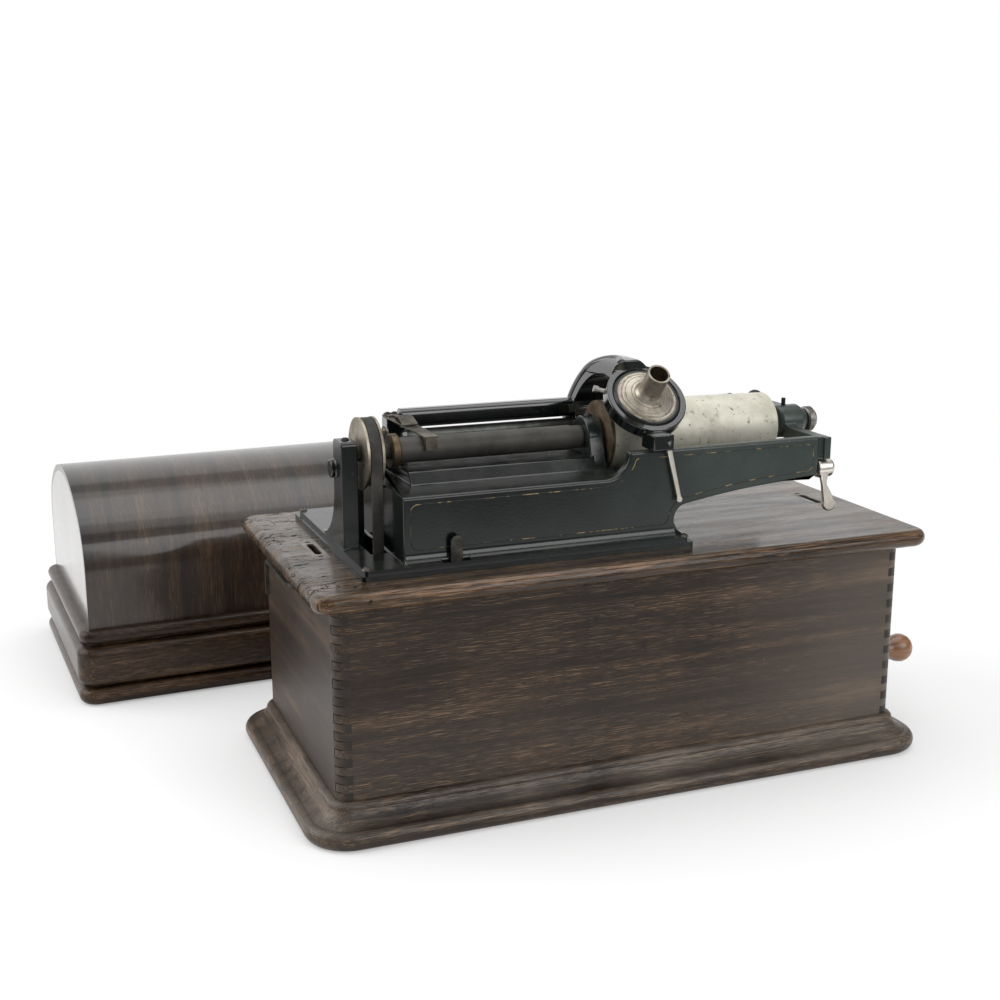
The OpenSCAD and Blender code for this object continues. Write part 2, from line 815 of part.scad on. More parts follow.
module feed_screw() {
    bevel = 0.6;
    blank_r = screw_r - bevel;
    journal_x = pillar_x + pillar_skin + slip;
    color(iron) {
        bar_x(journal_x, screw_x - journal_x, journal_r, sy, sz);
        turned_x(screw_x, sy, sz) polygon([[0, 0], [screw_r - bevel, 0], [screw_r, bevel],
            [screw_r, screw_l - blank_l], [blank_r, screw_l - blank_l], [blank_r, screw_l], [0, screw_l]]);
        bar_x(screw_x1, mandrel_x + seat_l - screw_x1, journal_r, sy, sz);
    }
}

module shaft_collar() {
    bevel = 0.8;
    color(brass) turned_x(collar_x, sy, sz) polygon([[journal_r, 0], [collar_r - bevel, 0], [collar_r, bevel],
        [collar_r, collar_w - bevel], [collar_r - bevel, collar_w], [journal_r, collar_w]]);
}

// Flanged pulley: half its profile
module pulley_profile(bore) {
    polygon([[bore, 0], [flange_r, 0], [flange_r, flange_t], [drum_r, flange_t],
        [drum_r, pulley_w - flange_t], [flange_r, pulley_w - flange_t], [flange_r, pulley_w],
        [bore, pulley_w]]);
}

module drive_pulley() {
    hole_r = 2;
    hole_l = 4;
    hole_at = [-11.8, -6.4];
    color(nickel) difference() {
        turned_x(pulley_x, sy, sz) pulley_profile(journal_r);
        bar_x(pulley_x - lap, hole_l + lap, hole_r, sy + hole_at[0], sz + hole_at[1]);
    }
}

module mandrel() {
    l = mandrel_l - end_plate_t;
    web = 8;
    bevel = 1;
    groove_at = 10;
    groove = 0.5;
    inner = mandrel_r2 - mandrel_wall;
    web_l = l - mandrel_inset;
    color(nickel) difference() {
        turned_x(mandrel_x + end_plate_t, sy, sz) difference() {
            polygon([[journal_r, 0], [mandrel_r1, 0], [mandrel_r2, l - bevel], [mandrel_r2 - bevel, l],
                [inner, l], [inner, web_l], [0, web_l], [0, web_l - web], [inner, web_l - web],
                [mandrel_r1 - mandrel_wall, seat_l], [journal_r, seat_l]]);
            translate([mandrel_r1 - groove, groove_at]) square([mandrel_wall, groove]);
        }
        translate([mandrel_x1 - mandrel_inset, sy, sz]) rotate([0, -90, 0])
            cylinder(h = dimple_l, r1 = dimple_r, r2 = 0);
    }
}

module mandrel_plate() {
    over = 0.3;
    hole_r = 2;
    hole_at = [-3, -17];
    color(rust) difference() {
        tube_x(mandrel_x, end_plate_t, mandrel_r1 + over, journal_r, sy, sz);
        bar_x(mandrel_x - lap, end_plate_t + 2*lap, hole_r, sy + hole_at[0], sz + hole_at[1]);
    }
}

module belt() {
    mid_x = pulley_x + pulley_w/2;
    r = drum_r + run;
    color(leather) along_x(mid_x - belt_w/2, belt_w) difference() {
        belt_shape(r + belt_t);
        belt_shape(r);
    }
}

module belt_shape(r) {
    translate([sy, sz]) circle(r);
    translate([my, mz]) circle(r);
    translate([sy - r, mz]) square([2*r, sz - mz]);
}

module back_rod() { color(steel) bar_x(rod_x, rod_x1 - rod_x, rod_r, ry, sz); }

module rod_screw() {
    color(iron) screw(rod_x1 - rod_post_l/2, ry, sz + post_head, oil_r, post_head - rod_r);
}

// Carriage: bar, bushes, arm, ring and lug

bush_out = rod_r + run + bush_wall;
housing_wall = 2.6;
housing_r = bush_out + housing_wall;
arm_lead = 26;
arm_foot_x = ring_x - arm_lead;
bar_in = 15.4;
bar_x0 = screw_x + bar_in;
bar_past = 8;
bar_x1 = arm_foot_x + bar_past;
bar_z0 = sz + rod_r + bar_gap;
bush_reach = 10.4;
bush_x0 = bar_x0 - bush_reach;
bush_past = 4;
bush_x1 = arm_foot_x + bush_past;
bracket_h = 14;
bracket_top = sz + bracket_h;

module carriage_bushes() {
    color(brass) for (x = [bush_x0, bush_x1]) tube_x(x, bush_l, bush_out, rod_r + run, ry, sz);
}

module ring_frame() { translate([ring_x, ring_y, ring_z]) rotate([ring_lean, 0, 0]) children(); }

arch_in = 4;
arch_x = ring_x - arch_in;
arch_rise = 38.1;
arch_z = sz + arch_rise;
arch_r = 15;
arm_front = 12;
ring_lip = 2.4;
ring_lip_t = 1.6;

// Front elevation of the arm: leaning at the left, rounded over at the top
module arm_face() {
    translate([arch_x, arch_z]) circle(arch_r);
    polygon([[arm_foot_x, sz - lap], [arch_x - arch_r, arch_z], [arch_x + arch_r, arch_z],
        [arch_x, sz - lap]]);
}

// Arm round the record
module arm() {
    reach = arm_r + arm_t;
    intersection() {
        tube_x(arm_foot_x, arch_x + arch_r - arm_foot_x, reach, arm_r, sy, sz);
        box(arm_foot_x, arch_x + arch_r, sy - arm_front, sy + reach, sz, sz + reach);
        along_y(sy - reach, 2*reach) arm_face();
    }
}

module carriage() {
    color(japan) difference() {
        union() {
            along_x(bar_x0, bar_x1 - bar_x0) translate([ry, bar_z0 + bar_h/2])
                rounded_rect(bar_w, bar_h, bar_round);
            for (x = [bush_x0, bush_x1]) bar_x(x, bush_l, housing_r, ry, sz);
            box(bush_x0, bush_x0 + bush_l, ry - bar_w/2, ry + bar_w/2, sz, bracket_top);
            box(bush_x1, bush_x1 + bush_l, ry - bar_w/2, ry + bar_w/2, sz, bar_z0 + bar_h/2);
            arm();
            ring_frame() translate([0, 0, -ring_t/2]) cylinder(h = ring_t, r = ring_r);
            lug();
        }
        ring_frame() {
            translate([0, 0, -ring_t/2 + ring_lip_t]) cylinder(h = ring_t, r = ring_r - ring_rim);
            translate([0, 0, -ring_t]) cylinder(h = 2*ring_t, r = ring_r - ring_rim - ring_lip);
        }
        for (x = [bush_x0, bush_x1]) bar_x(x - hair, bush_l + 2*hair, bush_out + run, ry, sz);
        bar_x(bush_x0 - lap, ring_x + arch_r - bush_x0, rod_r + slip, ry, sz);
        lift_slot();
        clamp_place() cylinder(h = clamp_l, r = clamp_r);
        nut_screw_places() translate([0, 0, -nut_t - nut_screw_l - lap])
            cylinder(h = 2*nut_screw_l, r = nut_screw_r);
    }
}

// Square lug ahead of the ring, over the front rail
lug_side = 3.1;
lug_x0 = ring_x - lug_side - lug_w/2;
lug_x1 = lug_x0 + lug_w;

module lug() { box(lug_x0, lug_x1, lug_y0, lug_y0 + lug_d, lug_z, lug_z + lug_h); }

// Spring arm and half nut that follow the feed screw

nut_w = 9.6;
nut_t = 1.2;
nut_z = sz + screw_r + slip;
nut_skew = 10;
nut_past = 3;
nut_front = sy - screw_r - nut_past;
nut_back = ry + bar_w/2 - lap;
nut_bend = ry - bar_w/2 - lap;
nut_flat_l = 6;
nut_flat = sy + nut_flat_l;
nut_screw_r = 1.2;
nut_screw_l = 5.5;
nut_screw_in = 2.4;
nut_tip_x = bush_x0 + nut_skew;
thumb_t = 1.1;

module nut_screw_places() {
    for (dx = [nut_screw_in, nut_w - nut_screw_in])
        translate([bush_x0 + dx, ry, bracket_top + nut_t]) children();
}

// The arm in plan: square on its bracket, then slanting along the feed screw
module nut_plan() {
    polygon([[bush_x0, nut_back], [bush_x0, nut_bend], [nut_tip_x, nut_flat], [nut_tip_x, nut_front],
        [nut_tip_x + nut_w, nut_front], [nut_tip_x + nut_w, nut_flat], [bush_x0 + nut_w, nut_bend],
        [bush_x0 + nut_w, nut_back]]);
}

module nut_spring() {
    color(steel) difference() {
        intersection() {
            along_x(bush_x0 - lap, nut_skew + nut_w + 2*lap)
                polygon([[nut_back, bracket_top], [nut_bend, bracket_top], [nut_flat, nut_z],
                    [nut_front, nut_z], [nut_front, nut_z + nut_t], [nut_flat, nut_z + nut_t],
                    [nut_bend, bracket_top + nut_t], [nut_back, bracket_top + nut_t]]);
            translate([0, 0, sz]) linear_extrude(2*bar_h) nut_plan();
        }
        nut_screw_places() translate([0, 0, -2*nut_t]) cylinder(h = 3*nut_t, r = nut_screw_r);
    }
}

// Thumb strip: side elevation of its lower face, ahead of the bracket and up
thumb_in = 4.6;
thumb_x = bush_x0 + thumb_in;
thumb_w = 10.6;
thumb_bends = [[3, 0], [8, 0.6], [14, -1.1], [20, -2.9]];
thumb_wave = concat([[nut_back, 0]], [for (b = thumb_bends) [nut_bend - b[0], b[1]]]);

module thumb_strip() {
    top = bracket_top + nut_t;
    n = len(thumb_wave) - 1;
    color(nickel) difference() {
        intersection() {
            along_x(bush_x0, nut_skew + nut_w) polygon(concat([for (w = thumb_wave) [w[0], top + w[1]]],
                [for (i = [n:-1:0]) [thumb_wave[i][0], top + thumb_t + thumb_wave[i][1]]]));
            translate([0, 0, sz]) linear_extrude(2*bar_h) {
                translate([bush_x0 + lap, nut_bend]) square([nut_w - 2*lap, nut_back - nut_bend + lap]);
                translate([thumb_x, nut_front]) square([thumb_w, nut_bend - nut_front + hair]);
            }
        }
        nut_screw_places() translate([0, 0, -2*nut_t]) cylinder(h = 6*nut_t, r = nut_screw_r);
    }
}

module nut_screws() {
    color(iron) nut_screw_places() screw(0, 0, thumb_t, nut_screw_r, thumb_t + nut_t + nut_screw_l);
}

// Block under the arm, cut to the front of the feed screw
module half_nut() {
    short = 2;
    color(brass) difference() {
        box(nut_tip_x + lap, nut_tip_x + nut_w - lap, nut_front + hair, sy - short, sz + slip, nut_z);
        bar_x(nut_tip_x, nut_w, screw_r + slip, sy, sz);
    }
}

// Reproducer, drawn in the ring's own frame with z along the neck

seat_z = -ring_t/2 + ring_lip_t;
seat_gap = 0.2;
body_r = ring_r - ring_rim - seat_gap;
chamber_in = 5;
chamber_r = body_r - chamber_in;
chamber_h = 2.6;
throat_in = 2;
throat_h = 0.8;
disc_t = 0.4;
cap_rise = 0.4;
// Steps of the cap, in from the body's radius and up
cap_steps = [[0, -1], [1, 0], [3, 0], [3.4, 0.8], [5.4, 0.8], [5.8, 1.5]];
// Flare of the neck, out from its radius and up
neck_flare = [[6, 2.4], [2, 3.6], [0.5, 5.6], [0, 8]];

module reproducer() {
    top = ring_t/2 + cap_rise;
    low = seat_z + chamber_h;
    color(nickel) ring_frame() rotate_extrude() polygon(concat(
        [[neck_bore, low + throat_h], [chamber_r - throat_in, low + throat_h], [chamber_r - throat_in, low],
            [chamber_r, low], [chamber_r, seat_z], [body_r, seat_z]],
        [for (p = cap_steps) [body_r - p[0], top + p[1]]],
        [for (p = neck_flare) [neck_r + p[0], top + p[1]]],
        [[neck_r, top + neck_l], [neck_bore, top + neck_l]]));
}

module diaphragm() {
    color(mica) ring_frame() translate([0, 0, seat_z + chamber_h - disc_t])
        cylinder(h = disc_t, r = chamber_r - hair);
}

weight_in = 4.6;
weight_r = ring_r - ring_rim - weight_in;
weight_gap = 2.2;
weight_z = seat_z - weight_gap;
weight_t = 3.4;
hinge_in = 2.9;
hinge_y = chamber_r - hinge_in;
hinge_z = weight_z - weight_t/2;
hinge_r = 1;
ear_x = 4.5;
ear_t = 2;

// Clamp ring of the diaphragm, with two ears and a pin for the floating weight
module diaphragm_ring() {
    ring_w = 3.5;
    ear_half = 1.4;
    ear_up = 0.5;
    color(brass) ring_frame() {
        translate([0, 0, seat_z]) difference() {
            cylinder(h = chamber_h - disc_t, r = chamber_r - hair);
            translate([0, 0, -lap]) cylinder(h = chamber_h + 2*lap, r = chamber_r - ring_w);
        }
        for (s = [-1, 1])
            translate([s*(ear_x + ear_t/2) - ear_t/2, hinge_y - ear_half, hinge_z - ear_half])
                cube([ear_t, 2*ear_half, seat_z + ear_up - hinge_z + ear_half]);
        bar_x(-ear_x - ear_t/2, 2*ear_x + ear_t, hinge_r, hinge_y, hinge_z);
    }
}

module reproducer_weight() {
    notch = ear_t + 2*slip;
    notch_in = 2.4;
    bite_r = 8.5;
    low = weight_z - weight_t;
    color(nickel) ring_frame() difference() {
        translate([0, 0, low]) cylinder(h = weight_t, r = weight_r);
        translate([0, -weight_r, low - lap]) cylinder(h = weight_t + 2*lap, r = bite_r);
        for (s = [-1, 1]) translate([s*(ear_x + ear_t/2) - notch/2, hinge_y - notch_in, low - lap])
            cube([notch, weight_r, weight_t + 2*lap]);
        bar_x(-weight_r, 2*weight_r, hinge_r + run, hinge_y, hinge_z);
    }
}

module stylus_bar() {
    w = 3;
    l = 8;
    t = 1.4;
    ahead = 2;
    tip_r = 0.8;
    color(brass) ring_frame() translate([0, 0, weight_z - weight_t - t]) {
        translate([-w/2, -ahead, 0]) cube([w, l, t]);
        translate([0, 0, -tip_r/2]) sphere(tip_r, $fn = 24);
    }
}

clamp_r = 1.6;
clamp_l = 12;
clamp_at = 158;
clamp_gap = 0.4;

module clamp_place() {
    ring_frame() rotate([0, 0, clamp_at]) translate([ring_r - ring_rim + clamp_gap, 0, 0]) rotate([0, 90, 0])
        children();
}

module clamp_screw() {
    head_l = 3;
    head_over = 0.7;
    color(copper) clamp_place() {
        cylinder(h = clamp_l, r = clamp_r);
        translate([0, 0, clamp_l - head_l]) cylinder(h = head_l, r = clamp_r + head_over);
    }
}

// Lift lever in a slot under the lug

lift_side = 0.8;
lift_x = ring_x + lift_side;
lift_pin_r = 1.2;
lift_eye_r = 2.2;
lift_tip_r = 2.1;
lift_w1 = 1.7;
lift_w2 = 1.4;
lift_lean = 14;
lift_wall = 1.2;
lift_gap = 0.35;
lift_y = lug_y0 + lift_wall + lift_gap + lift_t;
lift_up = 5;
lift_z = lug_z + lift_up;
lift_pin_l = 8;

// Room for the lever, open below and to the right, and the bore of its pin
module lift_slot() {
    box(lift_x - lift_eye_r - slip, lug_x1 + lap, lug_y0 + lift_wall, lift_y + lift_gap, lug_z - lap,
        lift_z + lift_eye_r + slip);
    translate([lift_x, lug_y0 + lift_pin_l, lift_z]) rotate([90, 0, 0])
        cylinder(h = 2*lift_pin_l, r = lift_pin_r);
}

module lift_lever() {
    color(nickel) translate([lift_x, lift_y, lift_z]) rotate([0, -lift_lean, 0]) difference() {
        union() {
            along_y(-lift_t, lift_t) circle(lift_eye_r);
            along_y(-lift_t, lift_t)
                polygon([[-lift_w1, 0], [lift_w1, 0], [lift_w2, -lift_l], [-lift_w2, -lift_l]]);
            along_y(-lift_t, lift_t) translate([0, -lift_l]) circle(lift_tip_r);
        }
        translate([0, lap, 0]) rotate([90, 0, 0]) cylinder(h = lift_t + 2*lap, r = lift_pin_r + run);
    }
}

module lift_pin() {
    color(steel) translate([lift_x, lug_y0 + lift_pin_l, lift_z]) rotate([90, 0, 0])
        cylinder(h = lift_pin_l, r = lift_pin_r);
}

// End gate, its hinge, centre screw and latch

barrel_x = mandrel_x1 + barrel_gap;
latch_in = 5;
latch_y = front_y + latch_in;
latch_z = rail_z - rail_face + latch_in;
latch_stud_r = 2.5;
latch_stud_l = 11;
hub_gap = 0.7;
block_z0 = latch_z + hub_r + hub_gap;
set_at = 7;

module end_gate() {
    knuckle_r = 9;
    arm_w = 12;
    arm_in = 1;
    strap_w = 8;
    strap_lap = 4;
    front_x0 = rail_x1 + slip;
    step_w = 3.4;
    step_in = 3;
    block_w = 8.4;
    front_x1 = front_x0 + block_w;
    block_y0 = front_y - lap;
    block_d = 11;
    block_y1 = block_y0 + block_d;
    step_y = block_y0 + step_in;
    block_z1 = rail_z - slip;
    strap_z = sz - barrel_r + arm_in;
    // mouth of the barrel, and its taper in from its radius and back from its end
    mouth = [1.5, 2];
    taper = [[0, 7], [3, 2], [4.5, 0]];
    color(japan) difference() {
        union() {
            translate([gate_x, ry, gate_z0]) cylinder(h = gate_z1 - gate_z0, r = knuckle_r);
            box(barrel_x + arm_in, barrel_x + arm_in + arm_w, sy, ry, gate_z0, sz + barrel_r - arm_in);
            turned_x(barrel_x, sy, sz) polygon(concat(
                [[0, 0], [barrel_r - mouth[0], 0], [barrel_r, mouth[1]]],
                [for (p = taper) [barrel_r - p[0], barrel_l - p[1]]], [[0, barrel_l]]));
            along_x(front_x0, strap_w) polygon([[sy, strap_z], [sy - barrel_r, strap_z],
                [step_y, block_z0 + strap_lap], [step_y, block_z1], [sy - barrel_r - strap_lap, block_z1],
                [sy, sz + strap_lap]]);
            box(front_x0, front_x1, step_y, block_y1, block_z0, block_z1);
            box(front_x0 + step_w, front_x1, block_y0, block_y1, block_z0, block_z1);
        }
        translate([gate_x, ry, gate_z0 - lap]) cylinder(h = gate_z1 - gate_z0 + 2*lap, r = gate_pin_r + run);
        bar_x(barrel_x - lap, barrel_l + 2*lap, centre_r + run, sy, sz);
        translate([barrel_x + set_at, sy, sz]) cylinder(h = barrel_r + lap, r = oil_r);
    }
}

module gate_pin() {
    top = gate_z1 + slip;
    low = arm_top_z - pin_bite;
    head_over = 1.5;
    ball_r = 6;
    ball_sunk = 2.5;
    color(iron) {
        translate([gate_x, ry, low]) cylinder(h = top - low, r = gate_pin_r);
        translate([gate_x, ry, top]) intersection() {
            cylinder(h = ball_r - ball_sunk + lap, r = gate_pin_r + head_over);
            translate([0, 0, -ball_sunk]) sphere(ball_r);
        }
    }
}

module centre_screw() {
    tip_gap = 1.2;
    tip_r = 0.4;
    shank_r = 3;
    edge = 1;
    head_l = 7.5;
    // bevel of the head's outer end, in and back
    bevel = [[0, 2.5], [1.5, 0.5]];
    tip_x = mandrel_x1 - mandrel_inset - dimple_l + tip_gap;
    shank_x = mandrel_x1;
    head_x = barrel_x + barrel_l + slip;
    color(steel) {
        translate([shank_x, sy, sz]) rotate([0, -90, 0])
            cylinder(h = shank_x - tip_x, r1 = shank_r, r2 = tip_r);
        bar_x(shank_x, head_x - shank_x, shank_r, sy, sz);
        bar_x(barrel_x, barrel_l, centre_r, sy, sz);
        turned_x(head_x, sy, sz) polygon(concat([[0, 0], [knurl_r - edge, 0], [knurl_r, edge]],
            [for (p = bevel) [knurl_r - p[0], head_l - p[1]]], [[0, head_l]]));
    }
}

module gate_set_screw() {
    gap = 0.4;
    proud = 5;
    z0 = sz + centre_r + gap;
    color(iron) translate([barrel_x + set_at, sy, z0])
        cylinder(h = sz + barrel_r + proud - z0, r = oil_r);
}

module gate_latch() {
    x0 = rail_x1 + slip;
    hub_l = 13.4;
    bevel = 2;
    lever_t = 3.4;
    lever_in = 0.6;
    foot_r = 5;
    foot_x = 9.8;
    neck_x = 5;
    neck_half = 1.8;
    neck_z = 10.5;
    side = 4.7;
    color(nickel) difference() {
        union() {
            turned_x(x0, latch_y, latch_z) polygon([[0, 0], [hub_r - bevel/2, 0], [hub_r, bevel/2],
                [hub_r, hub_l - bevel], [hub_r - bevel, hub_l], [0, hub_l]]);
            along_y(latch_y - hub_r + lever_in, lever_t) translate([x0, latch_z]) {
                polygon([[lap/2, 0], [neck_x + neck_half, 0], [neck_x + neck_half, -neck_z],
                    [foot_x + side, -latch_l + foot_r/3], [foot_x - side, -latch_l + foot_r/3],
                    [neck_x - neck_half, -neck_z]]);
                translate([foot_x, -latch_l]) circle(foot_r);
            }
        }
        bar_x(x0 - lap, latch_stud_l - slip + lap + run, latch_stud_r + run, latch_y, latch_z);
    }
}

// Start lever with its brake pad, and the speed screw

start_in = 33;
start_x = cast_x + start_in;
start_w = 8;
start_t = 1.6;
start_out = 3.4;
start_y = front_y - start_out;
pivot_drop = 22.8;
pivot_z = board_top - pivot_drop;
pivot_r = 2.5;
start_up = 16;
start_top = bed_top + start_up;
pad_up = 8;
start_low = mz + pad_up;
start_gap = 1.2;
pad_half = 4;
pad_travel = 3.2;

module start_slot() {
    swing = 5;
    up = 8;
    half = start_w/2 + swing;
    box(start_x - half, start_x + half, start_y - start_t - lap, start_y + start_gap,
        board_top - lap, bed_top + up);
}

// Room in the top board for the start lever
module start_notch() {
    swing = 10;
    half = start_w/2 + swing;
    box(start_x - half, start_x + half, start_y - start_t - 2*lap, bed_y0 + bed_seat + lap,
        case_h - lap, board_top + lap);
}

module start_bracket() {
    half = 6;
    depth = 6;
    stud_past = 3;
    y0 = start_y + start_gap + screw_gap;
    box(start_x - half, start_x + half, y0, y0 + depth, pivot_z - half, board_top + lap);
    translate([start_x, y0 + lap, pivot_z]) rotate([90, 0, 0])
        cylinder(h = start_t + stud_past + lap, r = pivot_r);
}

module start_lever() {
    eye = 1.5;
    color(nickel) along_y(start_y - start_t, start_t) difference() {
        union() {
            translate([start_x, start_top - start_w/2]) circle(start_w/2);
            translate([start_x - start_w/2, pivot_z]) square([start_w, start_top - start_w/2 - pivot_z]);
            translate([start_x, pivot_z]) circle(start_w/2 + eye);
            translate([start_x - start_w/2, start_low]) square([start_w, pivot_z - start_low]);
        }
        translate([start_x, pivot_z]) circle(pivot_r + run);
    }
}

module brake_pad() {
    over = 3;
    color(leather) box(start_x - pad_half, start_x + pad_half, start_y, governor_y - governor_disc_r + over,
        start_low, start_low + 2*pad_half);
}

speed_in = 50;
speed_x = bearing_x - speed_in;
speed_y = (back_y + bed_y1)/2;
speed_r = 2.5;
speed_low = 6;

module speed_screw() {
    up = 3;
    collar_t = 2;
    collar_out = 5;
    head_t = 5;
    head_r = 8;
    z = bed_top + up;
    color(nickel) translate([speed_x, speed_y, 0]) {
        translate([0, 0, case_h - speed_low]) cylinder(h = z - case_h + speed_low, r = speed_r);
        translate([0, 0, z]) cylinder(h = collar_t, r = collar_out);
        translate([0, 0, z + collar_t]) cylinder(h = head_t, r = head_r);
    }
}

// Spring motor, hung from the bedplate

frame_gap = 4;
frame_x = pulley_x + pulley_w + frame_gap;
frame_x1 = frame_x + frame_t + frame_l;
mid_at = -75;
barrel_at = -5;
governor_at = 180;
winding_at = 132;
mid_y = my + gear_distance(pinion_z, wheel_z)*cos(mid_at);
mid_z = mz + gear_distance(pinion_z, wheel_z)*sin(mid_at);
spring_y = mid_y + gear_distance(pinion_z, barrel_z)*cos(barrel_at);
spring_z = mid_z + gear_distance(pinion_z, barrel_z)*sin(barrel_at);
governor_y = my + gear_distance(wheel_z, pinion_z)*cos(governor_at);
governor_z = mz + gear_distance(wheel_z, pinion_z)*sin(governor_at);
crank_y = spring_y + gear_distance(crank_z, winding_z)*cos(winding_at);
crank_z0 = spring_z + gear_distance(crank_z, winding_z)*sin(winding_at);
// Places of the gears along the motor, each from the last
mid_gear_in = 4;
barrel_gear_in = 14;
governor_gear_in = 10;
winding_gap = 3;
mid_gear_x = frame_x + frame_t + mid_gear_in;
barrel_gear_x = mid_gear_x + barrel_gear_in;
governor_gear_x = barrel_gear_x + governor_gear_in;
winding_x = frame_x1 + frame_t + winding_gap;
gear_w = 5;
governor_disc_r = 14;
hanger_r = 4;
plate_front = 14;
plate_past = 36;
plate_drop = 22.8;
plate_y0 = governor_y - plate_front;
plate_y1 = spring_y + plate_past;
plate_z0 = spring_z - plate_past;
plate_z1 = board_top - plate_drop;

module hanger_places() {
    in_front = 12;
    in_back = 10;
    for (x = [frame_x + frame_t/2, frame_x1 + frame_t/2], y = [plate_y0 + in_front, plate_y1 - in_back])
        translate([x, y, 0]) children();
}

module motor_hangers() {
    shoulder = 1.5;
    color(steel) hanger_places() {
        translate([0, 0, plate_z1]) cylinder(h = board_top - plate_z1, r = hanger_r + shoulder);
        translate([0, 0, board_top]) cylinder(h = bed_t, r = hanger_r);
    }
}

module motor_frame() {
    tie_r = 4;
    tie_in = 5;
    tie_up = 6;
    ties = [[plate_y0 + tie_in, plate_z0 + tie_up], [plate_y1 - tie_in, plate_z0 + tie_up],
        [plate_y1 - tie_in, plate_z1 - tie_up]];
    through = frame_l + 2*frame_t + 2*lap;
    color(iron) difference() {
        union() {
            for (x = [frame_x, frame_x1]) box(x, x + frame_t, plate_y0, plate_y1, plate_z0, plate_z1);
            for (p = ties) bar_x(frame_x + lap, frame_l + frame_t, tie_r, p[0], p[1]);
        }
        for (p = [[my, mz], [mid_y, mid_z], [governor_y, governor_z]])
            bar_x(frame_x - lap, through, arbor_r + run, p[0], p[1]);
        bar_x(frame_x - lap, through, crank_r + run, spring_y, spring_z);
        bar_x(frame_x1 - lap, frame_t + 2*lap, crank_r + run, crank_y, crank_z0);
    }
}

module arbor(y, z, x0, x1) { bar_x(x0, x1 - x0, arbor_r, y, z); }

module pulley_arbor() {
    color(steel) {
        arbor(my, mz, pulley_x, frame_x1 + frame_t);
        gear_x(mid_gear_x - lap, gear_w + 2*lap, pinion_z, mid_at, my, mz);
        gear_x(governor_gear_x, gear_w, wheel_z, governor_at, my, mz);
    }
}

module motor_pulley() { color(nickel) turned_x(pulley_x, my, mz) pulley_profile(arbor_r); }

module mid_arbor() {
    color(brass) {
        arbor(mid_y, mid_z, frame_x, frame_x1 + frame_t);
        gear_x(mid_gear_x, gear_w, wheel_z, mid_at + 180 + 180/wheel_z, mid_y, mid_z);
        gear_x(barrel_gear_x - 2*lap, gear_w + 4*lap, pinion_z, barrel_at, mid_y, mid_z);
    }
}

barrel_wall = 2;

module spring_barrel() {
    drum_x = barrel_gear_x + gear_w;
    color(brass) difference() {
        union() {
            gear_x(barrel_gear_x, gear_w, barrel_z, barrel_at + 180 + 180/barrel_z, spring_y, spring_z);
            bar_x(drum_x, spring_drum_l, spring_drum_r, spring_y, spring_z);
        }
        bar_x(drum_x, spring_drum_l - barrel_wall, spring_drum_r - barrel_wall, spring_y, spring_z);
        bar_x(barrel_gear_x - lap, gear_w + spring_drum_l + 2*lap, crank_r + run, spring_y, spring_z);
    }
}

// Flat spiral mainspring: one strip from near the arbor out to the drum
spring_turns = 7;
turn_steps = 20;
strip_t = 0.9;
strip_gap = 2;

module mainspring() {
    inner = 1.2;
    r0 = crank_r + inner;
    r1 = spring_drum_r - barrel_wall - sink;
    n = spring_turns*turn_steps;
    function at(i, out) =
        let (r = r0 + (r1 - strip_t - r0)*i/n + out*strip_t, a = 360*spring_turns*i/n)
        [r*cos(a), r*sin(a)];
    color(steel) along_x(barrel_gear_x + gear_w + strip_gap, spring_drum_l - barrel_wall - 2*strip_gap)
        translate([spring_y, spring_z])
            polygon(concat([for (i = [0:n]) at(i, 0)], [for (i = [n:-1:0]) at(i, 1)]));
}

module winding_arbor() {
    color(steel) {
        bar_x(frame_x, winding_x + gear_w + 2*lap - frame_x, crank_r, spring_y, spring_z);
        gear_x(winding_x, gear_w, winding_z, winding_at, spring_y, spring_z);
    }
}

// Governor: balls on flat springs between two collars, and the friction disc
module governor() {
    gap = 8;
    l = 40;
    hub_l = 5;
    hub = 6;
    disc_w = 2;
    ball = 3.5;
    ball_in = 1;
    leaf_w = 4;
    leaf_t = 0.8;
    leaf_r = 4.4;
    x0 = governor_gear_x + gear_w + gap;
    color(brass) {
        arbor(governor_y, governor_z, frame_x, frame_x1 + frame_t);
        gear_x(governor_gear_x - lap, gear_w + 2*lap, pinion_z, governor_at + 180 + 180/pinion_z,
            governor_y, governor_z);
        for (x = [x0, x0 + l]) bar_x(x, hub_l, hub, governor_y, governor_z);
        bar_x(start_x + pad_half + pad_travel, disc_w, governor_disc_r, governor_y, governor_z);
        translate([x0 + (l + hub_l)/2, governor_y, governor_z]) for (k = [0:2]) rotate([120*k, 0, 0]) {
            translate([0, 0, governor_r - ball_in]) rotate([0, -90, 0]) rotate([90, 0, 0])
                sphere(ball, $fn = 32);
            along_y(-leaf_w/2, leaf_w) polygon([[-l/2, leaf_r], [0, governor_r - leaf_t/2], [l/2, leaf_r],
                [l/2, leaf_r + leaf_t], [0, governor_r + leaf_t/2], [-l/2, leaf_r + leaf_t]]);
        }
    }
}

// Crank and its wooden grip

crank_gap = 1.5;
arm_x0 = case_w/2 + board_over + crank_gap;
crank_arm_t = 5;
grip_pin_r = 3;
grip_wall = 6;
grip_bore = knob_l - grip_wall;

module crank() {
    eye_r = 8;
    tip_r = 6.5;
    half0 = 7;
    half1 = 5;
    color(nickel) {
        bar_x(frame_x1, arm_x0 + crank_arm_t - frame_x1, crank_r, crank_y, crank_z0);
        translate([0, crank_y, crank_z0]) rotate([crank_turn, 0, 0]) along_x(arm_x0, crank_arm_t) {
            circle(eye_r);
            translate([crank_throw, 0]) circle(tip_r);
            polygon([[0, -half0], [crank_throw, -half1], [crank_throw, half1], [0, half0]]);
        }
        crank_grip_place() cylinder(h = crank_arm_t + grip_bore - slip, r = grip_pin_r);
    }
}

